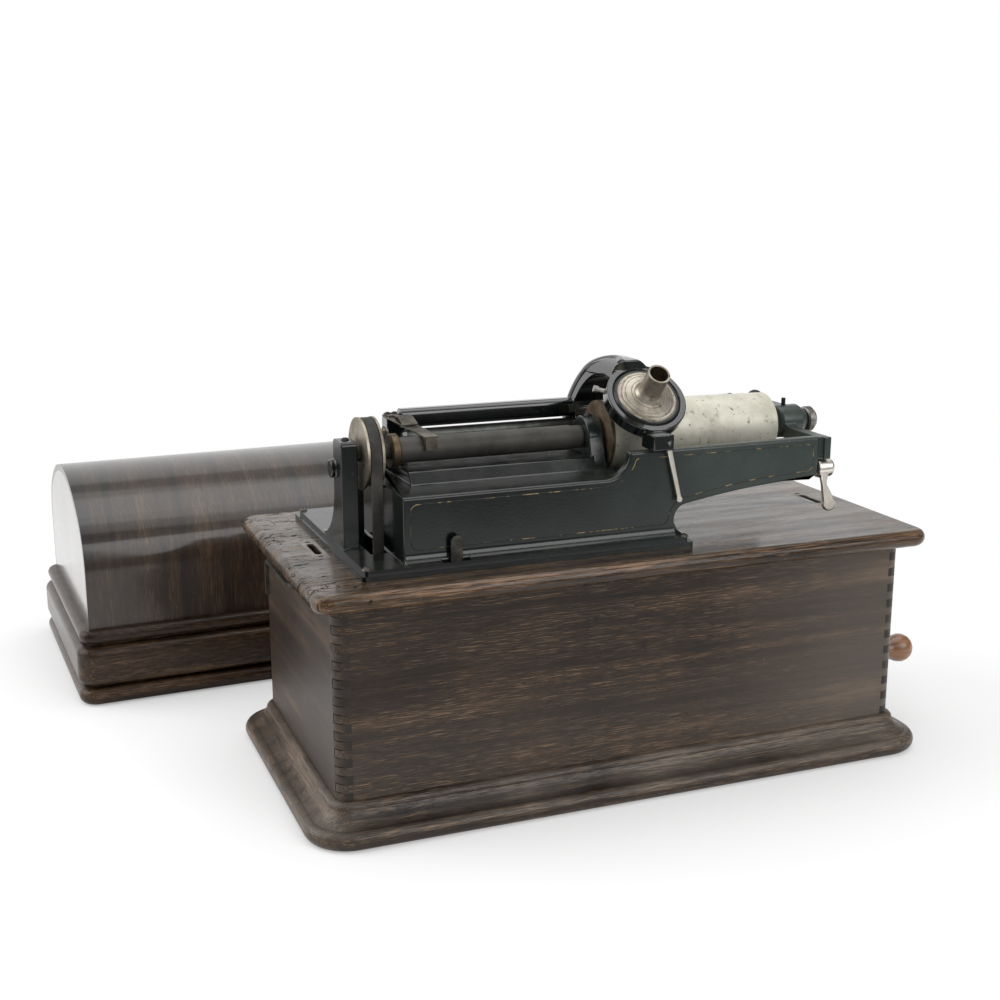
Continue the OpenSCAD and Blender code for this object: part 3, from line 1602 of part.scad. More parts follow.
module crank_grip_place() {
    translate([arm_x0, crank_y + crank_throw*cos(crank_turn), crank_z0 + crank_throw*sin(crank_turn)])
        rotate([0, 90, 0]) children();
}

module crank_pinion() {
    color(steel) difference() {
        gear_x(winding_x - lap, gear_w + 2*lap, crank_z, winding_at + 180 + 180/crank_z, crank_y, crank_z0);
        bar_x(winding_x - 2*lap, gear_w + 4*lap, crank_r, crank_y, crank_z0);
    }
}

module crank_knob() {
    k = knob_r;
    l = knob_l;
    foot_r = 7.7;
    neck = 6.6;
    neck_at = 6.2;
    color(red_wood) crank_grip_place() translate([0, 0, crank_arm_t + slip]) difference() {
        rotate_extrude() difference() {
            union() {
                square([neck, l - lap]);
                translate([0, l - k]) circle(k);
                polygon([[0, 0], [foot_r, 0], [neck, neck_at], [k, l - k], [0, l - k]]);
            }
            translate([-2*k, -l]) square([2*k, 4*l]);
        }
        translate([0, 0, -lap]) cylinder(h = grip_bore + lap, r = grip_pin_r + run);
    }
}

// Lid

module lid_place() { translate([lid_x, lid_y, 0]) rotate(lid_turn) children(); }

// Three-centred arch, drawn in by "less" all round
module arch(less) {
    half = dome_d/2;
    rise = dome_h - dome_side_h;
    c = half - shoulder_r;
    drop = (c*c - pow(rise - shoulder_r, 2))/(2*(rise - shoulder_r));
    crown_r = rise + drop;
    a = atan2(c, drop);
    far = 2*crown_r;
    translate([0, dome_side_h]) {
        translate([-half + less, lid_frame_h - dome_side_h])
            square([2*(half - less), dome_side_h - lid_frame_h]);
        for (s = [-1, 1]) translate([s*c, 0]) circle(shoulder_r - less);
        intersection() {
            translate([0, -drop]) circle(crown_r - less);
            translate([0, -drop]) polygon([[0, 0], [-far*sin(a), far*cos(a)], [far*sin(a), far*cos(a)]]);
            translate([-half, 0]) square([2*half, far]);
        }
        translate([-c, 0]) square([2*c, shoulder_r*cos(a) - less - hair]);
    }
}

// Height taken by the frame, below the arch
module frame_room() { translate([-dome_d, 0]) square([2*dome_d, lid_frame_h]); }

module lid_shell() {
    color(oak_light) lid_place() along_x(-dome_w/2, dome_w) difference() {
        arch(0);
        arch(shell_t);
        frame_room();
    }
}

module lid_ends() {
    color(oak_light) lid_place() for (x = [-dome_w/2, dome_w/2 - lid_end_t])
        along_x(x, lid_end_t) difference() {
            arch(shell_t + hair);
            frame_room();
        }
}

module lid_profile() {
    low = 6.4;
    high = 5.2;
    high_over = 7.6;
    band0 = 15;
    band1 = 46;
    band_r = 7;
    for (p = [[lid_over, low, low], [high_over, lid_frame_h - high, high]])
        intersection() {
            union() {
                translate([p[0] - p[2], p[1]]) circle(p[2]);
                translate([-lap, p[1] - p[2]]) square([p[0] - p[2] + lap, 2*p[2]]);
            }
            translate([-lap, 0]) square([3*lid_over, lid_frame_h]);
        }
    translate([-lap, band0]) square([lap + lid_over - band_r, band1 - band0]);
    translate([-lap, band0 + band_r]) square([lap + lid_over, band1 - band0 - 2*band_r]);
    for (y = [band0 + band_r, band1 - band_r]) translate([lid_over - band_r, y]) circle(band_r);
}

module lid_frame() {
    corner = 4;
    inner = 1;
    color(oak) lid_place() {
        linear_extrude(lid_frame_h) difference() {
            rounded_rect(dome_w, dome_d, corner);
            rounded_rect(dome_w - 2*lid_frame_t, dome_d - 2*lid_frame_t, inner);
        }
        round_sweep(dome_w, dome_d, corner) lid_profile();
    }
}

bottom_board();
base_moulding();
front_panel();
back_panel();
left_panel();
right_panel();
top_board();
slot_plates();
side_wire();
crank_bush();
bed_casting();
bed_screws();
pillar_bush();
centre_bush();
oil_screws();
feed_screw();
shaft_collar();
drive_pulley();
mandrel();
mandrel_plate();
belt();
back_rod();
rod_screw();
carriage_bushes();
carriage();
nut_spring();
thumb_strip();
half_nut();
nut_screws();
reproducer();
diaphragm();
diaphragm_ring();
reproducer_weight();
stylus_bar();
clamp_screw();
lift_lever();
lift_pin();
end_gate();
gate_pin();
centre_screw();
gate_set_screw();
gate_latch();
start_lever();
brake_pad();
speed_screw();
motor_frame();
motor_hangers();
pulley_arbor();
motor_pulley();
mid_arbor();
spring_barrel();
mainspring();
winding_arbor();
governor();
crank();
crank_pinion();
crank_knob();
lid_shell();
lid_ends();
lid_frame();
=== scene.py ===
import json
import math

import bmesh
import bpy
from mathutils import Euler, Matrix, Vector


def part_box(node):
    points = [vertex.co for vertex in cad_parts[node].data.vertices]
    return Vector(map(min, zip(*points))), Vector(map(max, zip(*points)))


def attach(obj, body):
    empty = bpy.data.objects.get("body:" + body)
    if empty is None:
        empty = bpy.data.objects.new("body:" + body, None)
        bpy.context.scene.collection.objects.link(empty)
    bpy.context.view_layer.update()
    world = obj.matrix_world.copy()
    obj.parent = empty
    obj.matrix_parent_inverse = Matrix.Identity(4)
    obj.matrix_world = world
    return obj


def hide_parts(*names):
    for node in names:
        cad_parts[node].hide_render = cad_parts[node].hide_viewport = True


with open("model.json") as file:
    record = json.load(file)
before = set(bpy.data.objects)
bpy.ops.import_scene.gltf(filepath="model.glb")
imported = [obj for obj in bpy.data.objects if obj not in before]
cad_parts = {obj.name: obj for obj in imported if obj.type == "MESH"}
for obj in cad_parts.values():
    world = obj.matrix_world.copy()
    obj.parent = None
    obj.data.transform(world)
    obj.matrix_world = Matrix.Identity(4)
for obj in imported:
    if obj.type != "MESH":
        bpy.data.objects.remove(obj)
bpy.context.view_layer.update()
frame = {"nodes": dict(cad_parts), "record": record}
nodes = frame["nodes"]
print("frame loaded:", len(nodes), "nodes")


# Shader helpers

class Value:
    # a socket that takes part in sums
    def __init__(self, shader, socket):
        self.shader = shader
        self.socket = socket

    def math(self, operation, *others):
        return self.shader.node("ShaderNodeMath", {"operation": operation}, self, *others)

    def __add__(self, other):
        return self.math("ADD", other)

    def __sub__(self, other):
        return self.math("SUBTRACT", other)

    def __mul__(self, other):
        return self.math("MULTIPLY", other)

    def __truediv__(self, other):
        return self.math("DIVIDE", other)

    def __rsub__(self, other):
        return self.shader.node("ShaderNodeMath", {"operation": "SUBTRACT"}, other, self)

    def __rtruediv__(self, other):
        return self.shader.node("ShaderNodeMath", {"operation": "DIVIDE"}, other, self)

    __radd__ = __add__
    __rmul__ = __mul__

    def abs(self):
        return self.math("ABSOLUTE")

    def max(self, other):
        return self.math("MAXIMUM", other)

    def min(self, other):
        return self.math("MINIMUM", other)

    def step(self, low, high):
        # 0 below low, 1 above high
        return self.shader.node("ShaderNodeMapRange", {"interpolation_type": "SMOOTHSTEP", "clamp": True},
                                self, low, high, 0.0, 1.0)


class Shader:
    # one material, or the world, and its nodes
    def __init__(self, name, world=False):
        self.material = (bpy.data.worlds if world else bpy.data.materials).new(name)
        self.material.use_nodes = True
        self.end = "ShaderNodeOutputWorld" if world else "ShaderNodeOutputMaterial"
        self.tree = self.material.node_tree
        self.tree.nodes.clear()
        self.cached = {}

    def node(self, kind, settings, *values, out=0, **named):
        made = self.tree.nodes.new(kind)
        for key, setting in settings.items():
            if key == "stops":
                ramp = made.color_ramp
                while len(ramp.elements) < len(setting):
                    ramp.elements.new(0.5)
                for element, (place, colour) in zip(ramp.elements, setting):
                    element.position = place
                    element.color = (*colour, 1.0)
            else:
                setattr(made, key, setting)
        sockets = [s for s in made.inputs if s.enabled]
        for socket, value in zip(sockets, values):
            self.put(socket, value)
        for key, value in named.items():
            self.put(made.inputs[key.replace("_", " ")], value)
        return Value(self, made.outputs[out])

    def put(self, socket, value):
        if isinstance(value, Value):
            self.tree.links.new(value.socket, socket)
        elif value is not None:
            if hasattr(socket.default_value, "__len__") and hasattr(value, "__len__"):
                size = len(socket.default_value)
                socket.default_value = (*value, 1.0)[:size]
            else:
                socket.default_value = value

    def place(self):
        # object coordinates, in metres
        if "place" not in self.cached:
            self.cached["place"] = self.node("ShaderNodeTexCoord", {}, out=3)
        return self.cached["place"]

    def axes(self):
        if "axes" not in self.cached:
            split = self.node("ShaderNodeSeparateXYZ", {}, self.place())
            self.cached["axes"] = [Value(self, o) for o in split.socket.node.outputs]
        return self.cached["axes"]

    def facing(self):
        # the way the surface faces, in X, Y and Z
        split = self.node("ShaderNodeSeparateXYZ", {}, self.node("ShaderNodeNewGeometry", {}, out=1))
        return [Value(self, o) for o in split.socket.node.outputs]

    def vector(self, x, y, z):
        return self.node("ShaderNodeCombineXYZ", {}, x, y, z)

    def noise(self, vector, scale, detail=3.0, rough=0.55, twist=0.0):
        return self.node("ShaderNodeTexNoise", {"noise_dimensions": "3D"}, Vector=vector, Scale=scale,
                         Detail=detail, Roughness=rough, Distortion=twist)

    def mix(self, factor, first, second):
        made = self.tree.nodes.new("ShaderNodeMix")
        made.data_type = "RGBA"
        for index, value in ((0, factor), (6, first), (7, second)):
            self.put(made.inputs[index], value)
        return Value(self, made.outputs[2])

    def ramp(self, factor, stops):
        return self.node("ShaderNodeValToRGB", {"stops": stops}, factor)

    def bump(self, height, strength, distance):
        return self.node("ShaderNodeBump", {}, Strength=strength, Distance=distance, Height=height)

    def surface(self, **sockets):
        return self.close(self.node("ShaderNodeBsdfPrincipled", {}, **sockets))

    def close(self, shaded):
        end = self.tree.nodes.new(self.end)
        self.tree.links.new(shaded.socket, end.inputs["Surface"])
        return self.material


def wear(node, material):
    slots = nodes[node].data.materials
    slots.clear()
    slots.append(material)


# Finishes

oakLooks = {
    "dark": (0.0080, 0.0050, 0.0035),
    "mid": (0.0360, 0.0200, 0.0112),
    "pale": (0.195, 0.120, 0.068),
    "worn": (0.22, 0.118, 0.062),
    # pale colour for dust specks, bloom and painted sheen
    "paleBloomSheen": (0.27, 0.245, 0.215),
    "crack": (0.0025, 0.0020, 0.0016),
    # gloss of the varnish; a patchy coat is worn off in streaks
    "roughness": 0.28,
    "shine": 0.25,
    "coat": 0.0,
    "coatRoughness": 0.10,
    "patchy": False,
    # scale of the grain across and along the fibres, how much of it shows and how deep it is
    "streaks": (80.0, 3.4),
    "lines": (1400.0, 55.0),
    "pores": (1800.0, 120.0),
    "lineShare": 0.85,
    "poreShare": 0.75,
    "relief": 0.3,
    "depth": 0.0006,
    "wave": 0.0,
    # wear, and a pale bloom with painted sheen on upward faces
    "rubbed": 0.03,
    "haze": 0.0,
    "edges": 0.0,
    "edgeBack": 1.0,
    # grain that turns with a frame's sides; places along X for cracks, and for filled grain under a painted
    # sheen; corner joints
    "mitred": False,
    "crazed": None,
    "smooth": None,
    "joints": None,
}

crazeLooks = {
    "along": {"scale": (24.0, 150.0), "level": 0.0, "width": (0.020, 0.007), "broken": (0.42, 0.52)},
    "across": {"scale": (120.0, 22.0), "level": 3.0, "width": (0.011, 0.004), "broken": (0.52, 0.60)},
    "depth": 0.06,
}


def crazing(s):
    # fine cracks in old varnish, most of them along X
    x, y = s.axes()[:2]
    broken = s.noise(s.place(), 60.0, 4.0, 0.65)
    cracks = []
    for name in ("along", "across"):
        look = crazeLooks[name]
        scaleX, scaleY = look["scale"]
        field = s.noise(s.vector(x * scaleX, y * scaleY, look["level"]), 1.0, 2.0)
        cracks.append((field - 0.5).abs().step(*look["width"]) * broken.step(*look["broken"]))
    return cracks[0].max(cracks[1])


low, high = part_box("front_panel")
fingerCount = 25
joints = {
    # fingers of the case's corners: lowest one, height, depth from the sides and from the front, in metres
    "low": low.z, "pitch": (high.z - low.z) / fingerCount, "depth": 0.0095, "reach": 0.0070,
    "halfX": high.x, "halfY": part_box("left_panel")[1].y,
    "gap": (0.00050, 0.00015), "endGap": (0.0008, 0.0003), "blur": 0.0004, "endGrain": 0.7,
}


def fingerJoints(s, facing, look):
    # dark gaps round the fingers of the corner joints, and where their end grain shows on the front
    x, y, z = s.axes()
    pitch, depth, reach = look["pitch"], look["depth"], look["reach"]
    nearX = look["halfX"] - x.abs()
    nearY = look["halfY"] - y.abs()
    level = s.node("ShaderNodeMath", {"operation": "PINGPONG"}, z - look["low"], pitch / 2)
    cell = s.node("ShaderNodeMath", {"operation": "PINGPONG"}, z - look["low"] + pitch / 2, pitch)
    even = cell.step(pitch * 0.45, pitch * 0.55)
    side = facing[0].abs().step(0.25, 0.75)
    corner = nearX.step(depth + look["blur"], depth)
    between = level.step(*look["gap"]) * nearY.step(reach + look["blur"], reach)
    ends = (nearY - reach).abs().step(*look["endGap"]) * even
    filled = s.noise(s.place(), 120.0, 4.0).step(0.28, 0.44)
    gaps = between.max(ends) * corner * (side * 0.85 + 0.1) * filled
    return gaps, corner * (1.0 - even) * (1.0 - side) * look["endGrain"]


def oakFinish(name, along, **changes):
    # along: the axes that the grain follows
    look = dict(oakLooks, **changes)
    s = Shader(name)
    ways = s.axes()
    facing = s.facing()

    def fibres(size, detail, rough, twist=0.0):
        # noise drawn out along the grain; in mitred frames it turns with their sides
        across, run = size

        def drawn(axes):
            place = s.vector(*[way * (run if i in axes else across) for i, way in enumerate(ways)])
            return s.noise(place, 1.0, detail, rough, twist)

        first = drawn(along)
        if not look["mitred"]:
            return first
        return first + (drawn((1,)) - first) * facing[0].abs().step(0.62, 0.72)

    broad = s.noise(s.place(), 9.0, 4.0, 0.6)
    streak = fibres(look["streaks"], 6.0, 0.66, 0.4)
    line = fibres(look["lines"], 3.0, 0.62)
    pore = fibres(look["pores"], 2.0, 0.6)
    clear = 1.0
    if look["smooth"]:
        # the grain is filled towards one end, and a painted sheen makes that end paler
        clear = ways[0].step(*look["smooth"]) * 0.75 + 0.25
    stops = [(0.36, look["dark"]), (0.56, look["mid"]), (0.80, look["pale"])]
    base = s.ramp(streak * 0.6 + broad * 0.4, stops)
    lit = line.step(0.50, 0.66) * streak.step(0.36, 0.60)
    base = s.mix(lit * clear * look["lineShare"], base, look["pale"])
    base = s.mix(pore.step(0.47, 0.36) * clear * look["poreShare"], base, look["dark"])
    rubbed = s.noise(s.place(), 30.0, 5.0, 0.68).step(0.56, 0.70) * streak.step(0.42, 0.60) * look["rubbed"]
    if look["edges"]:
        # rounded edges are rubbed through to the bare wood in streaks, most of all at the front
        edge = facing[2].step(0.985, 0.80) * facing[2].step(-0.2, 0.3)
        edge = edge * (look["edgeBack"] + facing[1].step(-0.1, -0.5) * (1.0 - look["edgeBack"]))
        patch = s.noise(s.place(), 14.0, 4.0, 0.6).step(0.34, 0.62)
        rubbed = rubbed + edge * patch * (line * 0.6 + streak * 0.4).step(0.42, 0.60) * look["edges"]
    base = s.mix(rubbed.min(1.0), base, look["worn"])
    dust = s.noise(s.place(), 420.0, 2.0).step(0.69, 0.76) * 0.16
    # pale bloom with painted sheen: upward faces turn paler, partly a real bloom, partly a painted reflection
    # of the bright surroundings
    veil = facing[2].step(-0.1, 0.7) * broad.step(0.3, 0.7) * look["haze"]
    if look["smooth"]:
        # painted sheen towards the filled end, and a painted reflection of the floor on the low part of the
        # front, fading out by 0.105 m
        veil = veil + (1.0 - clear) * 0.24 + ways[2].step(0.105, 0.035) * 0.07
    base = s.mix(dust + veil, base, look["paleBloomSheen"])
    gaps = None
    height = line * 0.5 - pore.step(0.48, 0.36) * 0.5
    if look["wave"]:
        height = height + s.noise(s.place(), 55.0, 2.0) * look["wave"]
    rough = look["roughness"] + (broad - 0.5) * 0.24 + line * 0.06 + rubbed.min(1.0) * 0.15
    if look["crazed"]:
        gaps = crazing(s) * ways[0].step(*look["crazed"])
        height = height - gaps * crazeLooks["depth"]
    if look["joints"]:
        gaps, endGrain = fingerJoints(s, facing, look["joints"])
        base = s.mix(endGrain, base, look["dark"])
        height = height - gaps
    coat = look["coat"]
    if look["patchy"]:
        patches = s.noise(s.vector(ways[0] * 11.0, ways[1] * 60.0, 5.0), 1.0, 4.0, 0.6)
        coat = patches.step(0.36, 0.62) * coat
    whole = s.node("ShaderNodeBsdfPrincipled", {}, Base_Color=base, Roughness=rough, Coat_Weight=coat,
                   Coat_Roughness=look["coatRoughness"], Specular_IOR_Level=look["shine"],
                   Normal=s.bump(height, look["relief"], look["depth"]))
    if gaps is None:
        return s.close(whole)
    inside = s.node("ShaderNodeBsdfPrincipled", {}, Base_Color=look["crack"], Roughness=0.9,
                    Specular_IOR_Level=0.1)
    return s.close(s.node("ShaderNodeMixShader", {}, gaps * 0.9, whole, inside))


japanLooks = {
    "deep": (0.0014, 0.0023, 0.0021),
    "green": (0.0036, 0.0068, 0.0056),
    # colour of a dull film, also used for a painted sheen
    "filmAndSheen": (0.044, 0.060, 0.052),
    "shine": 0.55,
    "chip": (0.085, 0.062, 0.043),
    "dust": (0.20, 0.185, 0.16),
}


def japanFinish(name, gloss=0.10, dusty=0.35, sheenRamp=None, mark=None, coat=0.0):
    # sheenRamp: places along X between which a painted sheen grows, paler and duller towards the right
    # mark: middle and half widths of a dark oval patch on the ledge
    look = japanLooks
    s = Shader(name)
    cloud = s.noise(s.place(), 24.0, 4.0, 0.6)
    grit = s.noise(s.place(), 900.0, 2.0, 0.6)
    filmAndSheen = s.noise(s.place(), 11.0, 4.0, 0.62)
    base = s.mix(cloud.step(0.35, 0.7), look["deep"], look["green"])
    dull = filmAndSheen.step(0.40, 0.75) * 0.12
    # painted sheen: the casting turns paler and duller towards the right
    if sheenRamp:
        dull = dull + s.axes()[0].step(*sheenRamp) * (filmAndSheen * 0.7 + 0.30)
    base = s.mix(dull, base, look["filmAndSheen"])
    chip = s.noise(s.place(), 150.0, 5.0, 0.72).step(0.715, 0.745)
    base = s.mix(chip * 0.8, base, look["chip"])
    up = s.facing()[2]
    dust = up.step(0.3, 0.95) * s.noise(s.place(), 60.0, 5.0, 0.7).step(0.35, 0.75) * dusty
    speck = s.noise(s.place(), 520.0, 1.0).step(0.72, 0.78) * 0.25
    veil = dust * 0.35 + speck * 0.5
    rough = gloss + cloud * 0.10 + dust * 0.35 + dull * 0.2 + chip * 0.3
    if mark:
        x, y, z = s.axes()
        (x0, y0, z0), (halfX, halfY) = mark
        across = (x - x0) / halfX
        along = (y - y0) / halfY
        inside = (across * across + along * along).step(1.15, 0.75) * (z - z0).abs().step(0.003, 0.001)
        base = s.mix(inside, base, look["deep"])
        veil = veil * (1.0 - inside)
        rough = rough - inside * 0.12
    base = s.mix(veil, base, look["dust"])
    return s.surface(Base_Color=base, Roughness=rough, Specular_IOR_Level=look["shine"], Coat_Weight=coat,
                     Normal=s.bump(grit * 0.4 + cloud * 0.5, 0.1, 0.0008))


nickelLooks = {
    "bright": (0.66, 0.62, 0.535),
    "dull": (0.42, 0.39, 0.315),
    "stain": (0.14, 0.10, 0.062),
}


def nickelFinish(name, stained=0.5, rough=0.3, pits=0.0, tint=None, metal=1.0):
    look = dict(nickelLooks, **(tint or {}))
    s = Shader(name)
    cloud = s.noise(s.place(), 45.0, 5.0, 0.65)
    fine = s.noise(s.place(), 480.0, 3.0, 0.6)
    base = s.mix(cloud.step(0.38, 0.68), look["bright"], look["dull"])
    spots = s.noise(s.place(), 260.0, 4.0, 0.7).step(0.60, 0.70) * stained
    blotch = s.noise(s.place(), 80.0, 5.0, 0.7).step(0.58, 0.72) * stained * 0.7
    base = s.mix(spots.max(blotch), base, look["stain"])
    roughness = rough + cloud * 0.14 + spots * 0.25 + fine * 0.06
    height = fine * 0.3 - spots * (0.4 + pits)
    return s.surface(Base_Color=base, Metallic=metal - spots * 0.5, Roughness=roughness,
                     Normal=s.bump(height, 0.25, 0.0004))


def plainMetal(name, light, dark, rough, metallic=1.0, grit=500.0):
    s = Shader(name)
    cloud = s.noise(s.place(), 70.0, 5.0, 0.65)
    fine = s.noise(s.place(), grit, 3.0, 0.6)
    base = s.mix(cloud.step(0.35, 0.7), light, dark)
    return s.surface(Base_Color=base, Metallic=metallic, Roughness=rough + (cloud - 0.5) * 0.25 + fine * 0.08,
                     Normal=s.bump(fine, 0.18, 0.0003))


def feedScrewFinish():
    # fine thread, darkened with old oil
    s = Shader("oiled feed screw")
    halfPitch = 0.35
    ridge = s.node("ShaderNodeMath", {"operation": "PINGPONG"}, s.axes()[0] * 1000.0, halfPitch)
    cloud = s.noise(s.place(), 38.0, 3.0, 0.55)
    grime = s.noise(s.place(), 420.0, 4.0, 0.7)
    base = s.mix(cloud.step(0.3, 0.75), (0.090, 0.086, 0.078), (0.050, 0.047, 0.042))
    base = s.mix(grime.step(0.52, 0.72) * 0.45, base, (0.13, 0.118, 0.10))
    base = s.mix(ridge.step(0.12, 0.0) * 0.55, base, (0.012, 0.011, 0.010))
    return s.surface(Base_Color=base, Metallic=0.55, Roughness=0.42 + cloud * 0.12 + grime * 0.08,
                     Normal=s.bump(ridge + grime * 0.2, 0.5, 0.0004))


def leatherFinish():
    s = Shader("belt leather")
    grain = s.noise(s.place(), 700.0, 3.0, 0.6)
    cloud = s.noise(s.place(), 60.0, 4.0, 0.6)
    base = s.mix(cloud.step(0.3, 0.7), (0.016, 0.0145, 0.0125), (0.055, 0.050, 0.043))
    return s.surface(Base_Color=base, Roughness=0.66 + grain * 0.15, Normal=s.bump(grain, 0.4, 0.0004))


def gripFinish():
    s = Shader("polished grip wood")
    x, y, z = s.axes()
    streak = s.noise(s.vector(x * 24.0, y * 260.0, z * 260.0), 1.0, 4.0, 0.6, 0.4)
    stops = [(0.3, (0.11, 0.046, 0.019)), (0.55, (0.27, 0.125, 0.056)), (0.8, (0.45, 0.24, 0.12))]
    base = s.ramp(streak, stops)
    return s.surface(Base_Color=base, Roughness=0.26 + streak * 0.1, Coat_Weight=0.35,
                     Normal=s.bump(streak, 0.08, 0.0004))


def diaphragmFinish():
    s = Shader("diaphragm sheet")
    cloud = s.noise(s.place(), 160.0, 3.0)
    base = s.mix(cloud, (0.55, 0.5, 0.4), (0.66, 0.62, 0.52))
    return s.surface(Base_Color=base, Roughness=0.4 + cloud * 0.1)


discLooks = {
    "bright": (0.50, 0.455, 0.385),
    "dull": (0.27, 0.235, 0.185),
    "stain": (0.065, 0.048, 0.032),
    "rings": (0.0098, 0.0118, 0.0158, 0.0182, 0.0206),
    "ringHalf": 0.00030,
    "black": (0.004, 0.0055, 0.0055),
    "blackFrom": 0.0207,
    "blackBlur": 0.0002,
}


def discFinish(middle, axis):
    # turned rings and dark spots round the neck of the reproducer
    look = discLooks
    s = Shader("reproducer nickel")
    arm = s.node("ShaderNodeVectorMath", {"operation": "SUBTRACT"}, s.place(), tuple(middle))
    radius = s.node("ShaderNodeVectorMath", {"operation": "CROSS_PRODUCT"}, arm, tuple(axis))
    radius = s.node("ShaderNodeVectorMath", {"operation": "LENGTH"}, radius, out=1)
    cloud = s.noise(s.place(), 70.0, 5.0, 0.65)
    fine = s.noise(s.place(), 520.0, 3.0, 0.6)
    spots = s.noise(s.place(), 330.0, 4.0, 0.72).step(0.60, 0.68)
    groove = 0.0
    for ring in look["rings"]:
        groove = (radius - ring).abs().step(look["ringHalf"], look["ringHalf"] * 0.3) + groove
    black = radius.step(look["blackFrom"] - look["blackBlur"], look["blackFrom"] + look["blackBlur"])
    base = s.mix(cloud.step(0.36, 0.68), look["bright"], look["dull"])
    dirt = (spots * 0.85 + groove * 0.5).min(1.0)
    base = s.mix(black, s.mix(dirt, base, look["stain"]), look["black"])
    metal = (1.0 - dirt * 0.6) * (1.0 - black)
    rough = 0.34 + cloud * 0.16 + dirt * 0.2 - black * 0.18
    return s.surface(Base_Color=base, Metallic=metal, Roughness=rough,
                     Normal=s.bump(fine * 0.3 - groove * 1.5 - spots * 0.5, 0.35, 0.0004))


def stripeFinish():
    # gold line, rubbed away in places
    s = Shader("worn gold line")
    gone = s.noise(s.place(), 110.0, 5.0, 0.72).step(0.40, 0.50)
    shine = s.noise(s.place(), 700.0, 2.0)
    base = s.mix(gone, s.mix(shine, (0.24, 0.175, 0.075), (0.36, 0.28, 0.14)), (0.006, 0.0095, 0.0085))
    return s.surface(Base_Color=base, Metallic=0.6 - gone * 0.6, Roughness=0.42 + gone * 0.1)


neck = next(m for m in frame["record"]["mounts"] if m["name"] == "horn_neck")

oakFront = oakFinish("oak front", (0,), smooth=(0.20, 0.03), shine=0.30, joints=joints)
oakAlongX = oakFinish("oak along X", (0,), joints=joints)
oakSide = oakFinish("oak sides", (1,), lineShare=0.25, poreShare=0.25, relief=0.1, roughness=0.38, shine=0.4,
                    joints=joints)
# the lid's end boards: paler tones that paint the glare on their lit faces
oakEndsGlare = oakFinish("oak end boards with painted glare", (2,), rubbed=0.3, lineShare=0.4, relief=0.1, roughness=0.14, shine=0.6,
                    coat=0.8, dark=(0.030, 0.022, 0.017), mid=(0.105, 0.082, 0.064), pale=(0.25, 0.205, 0.16))
oakBoard = oakFinish("oak top board", (0,), rubbed=0.12, edges=1.0, edgeBack=0.15, crazed=(-0.14, -0.185),
                     roughness=0.16, shine=0.26, relief=0.25, wave=0.6, poreShare=0.4, coat=0.35, patchy=True,
                     mid=(0.066, 0.038, 0.019), pale=(0.24, 0.15, 0.08))
oakBase = oakFinish("oak base", (0,), rubbed=0.15, haze=0.20, edges=0.5, shine=0.4, mitred=True,
                    worn=(0.25, 0.18, 0.12))
oakShell = oakFinish("oak bent shell", (1, 2), lineShare=0.35, relief=0.15, roughness=0.30, shine=0.5,
                     coat=0.6)
oakLidFrame = oakFinish("oak lid frame", (0,), edges=0.25, mitred=True, lineShare=0.4, roughness=0.18)
ledgeMark = ((-0.103, -0.058, 0.210), (0.014, 0.0045))
japan = japanFinish("black japan", sheenRamp=(-0.08, 0.13), mark=ledgeMark)
japanBright = japanFinish("glossy black japan", 0.07, 0.15, coat=0.8)
nickel = nickelFinish("aged nickel")
nickelClean = nickelFinish("bright nickel", 0.22, 0.24,
                           tint={"bright": (0.84, 0.80, 0.72), "dull": (0.66, 0.61, 0.52)})
mandrelNickel = nickelFinish("pitted nickel", 0.85, 0.46, 0.6, metal=0.45,
                             tint={"bright": (0.72, 0.70, 0.60), "dull": (0.56, 0.54, 0.45)})
discNickel = discFinish(neck["pos_m"], neck["axis"])
goldLine = stripeFinish()
pulleyTint = {"bright": (0.46, 0.41, 0.33), "dull": (0.20, 0.17, 0.13), "stain": (0.07, 0.05, 0.03)}
pulleyMetal = nickelFinish("worn pulley plate", 0.6, 0.36, 0.2, pulleyTint)
dullBrass = plainMetal("dull brass", (0.36, 0.27, 0.14), (0.16, 0.115, 0.06), 0.42)
brownBrass = plainMetal("blackened brass", (0.15, 0.112, 0.066), (0.05, 0.037, 0.023), 0.45, 0.8)
steel = plainMetal("aged steel", (0.40, 0.385, 0.36), (0.20, 0.19, 0.175), 0.36)
rodSteel = plainMetal("oiled rod steel", (0.115, 0.122, 0.11), (0.05, 0.053, 0.047), 0.4, 0.7)
springSteel = plainMetal("browned spring steel", (0.15, 0.135, 0.108), (0.045, 0.040, 0.033), 0.42, 0.75)
plateSteel = plainMetal("slot plate steel", (0.25, 0.235, 0.205), (0.12, 0.11, 0.094), 0.4, 0.7)
screwIron = plainMetal("rubbed screw iron", (0.16, 0.14, 0.12), (0.045, 0.038, 0.032), 0.4, 0.8)
darkIron = plainMetal("dark iron", (0.045, 0.042, 0.038), (0.016, 0.015, 0.014), 0.45, 0.7)
leverIron = plainMetal("rubbed lever iron", (0.10, 0.095, 0.078), (0.030, 0.028, 0.024), 0.42, 0.7)
brownPlate = plainMetal("brown end plate", (0.20, 0.150, 0.098), (0.060, 0.042, 0.027), 0.5, 0.6)
feedMetal = feedScrewFinish()
leather = leatherFinish()
gripWood = gripFinish()
diaphragmSheet = diaphragmFinish()

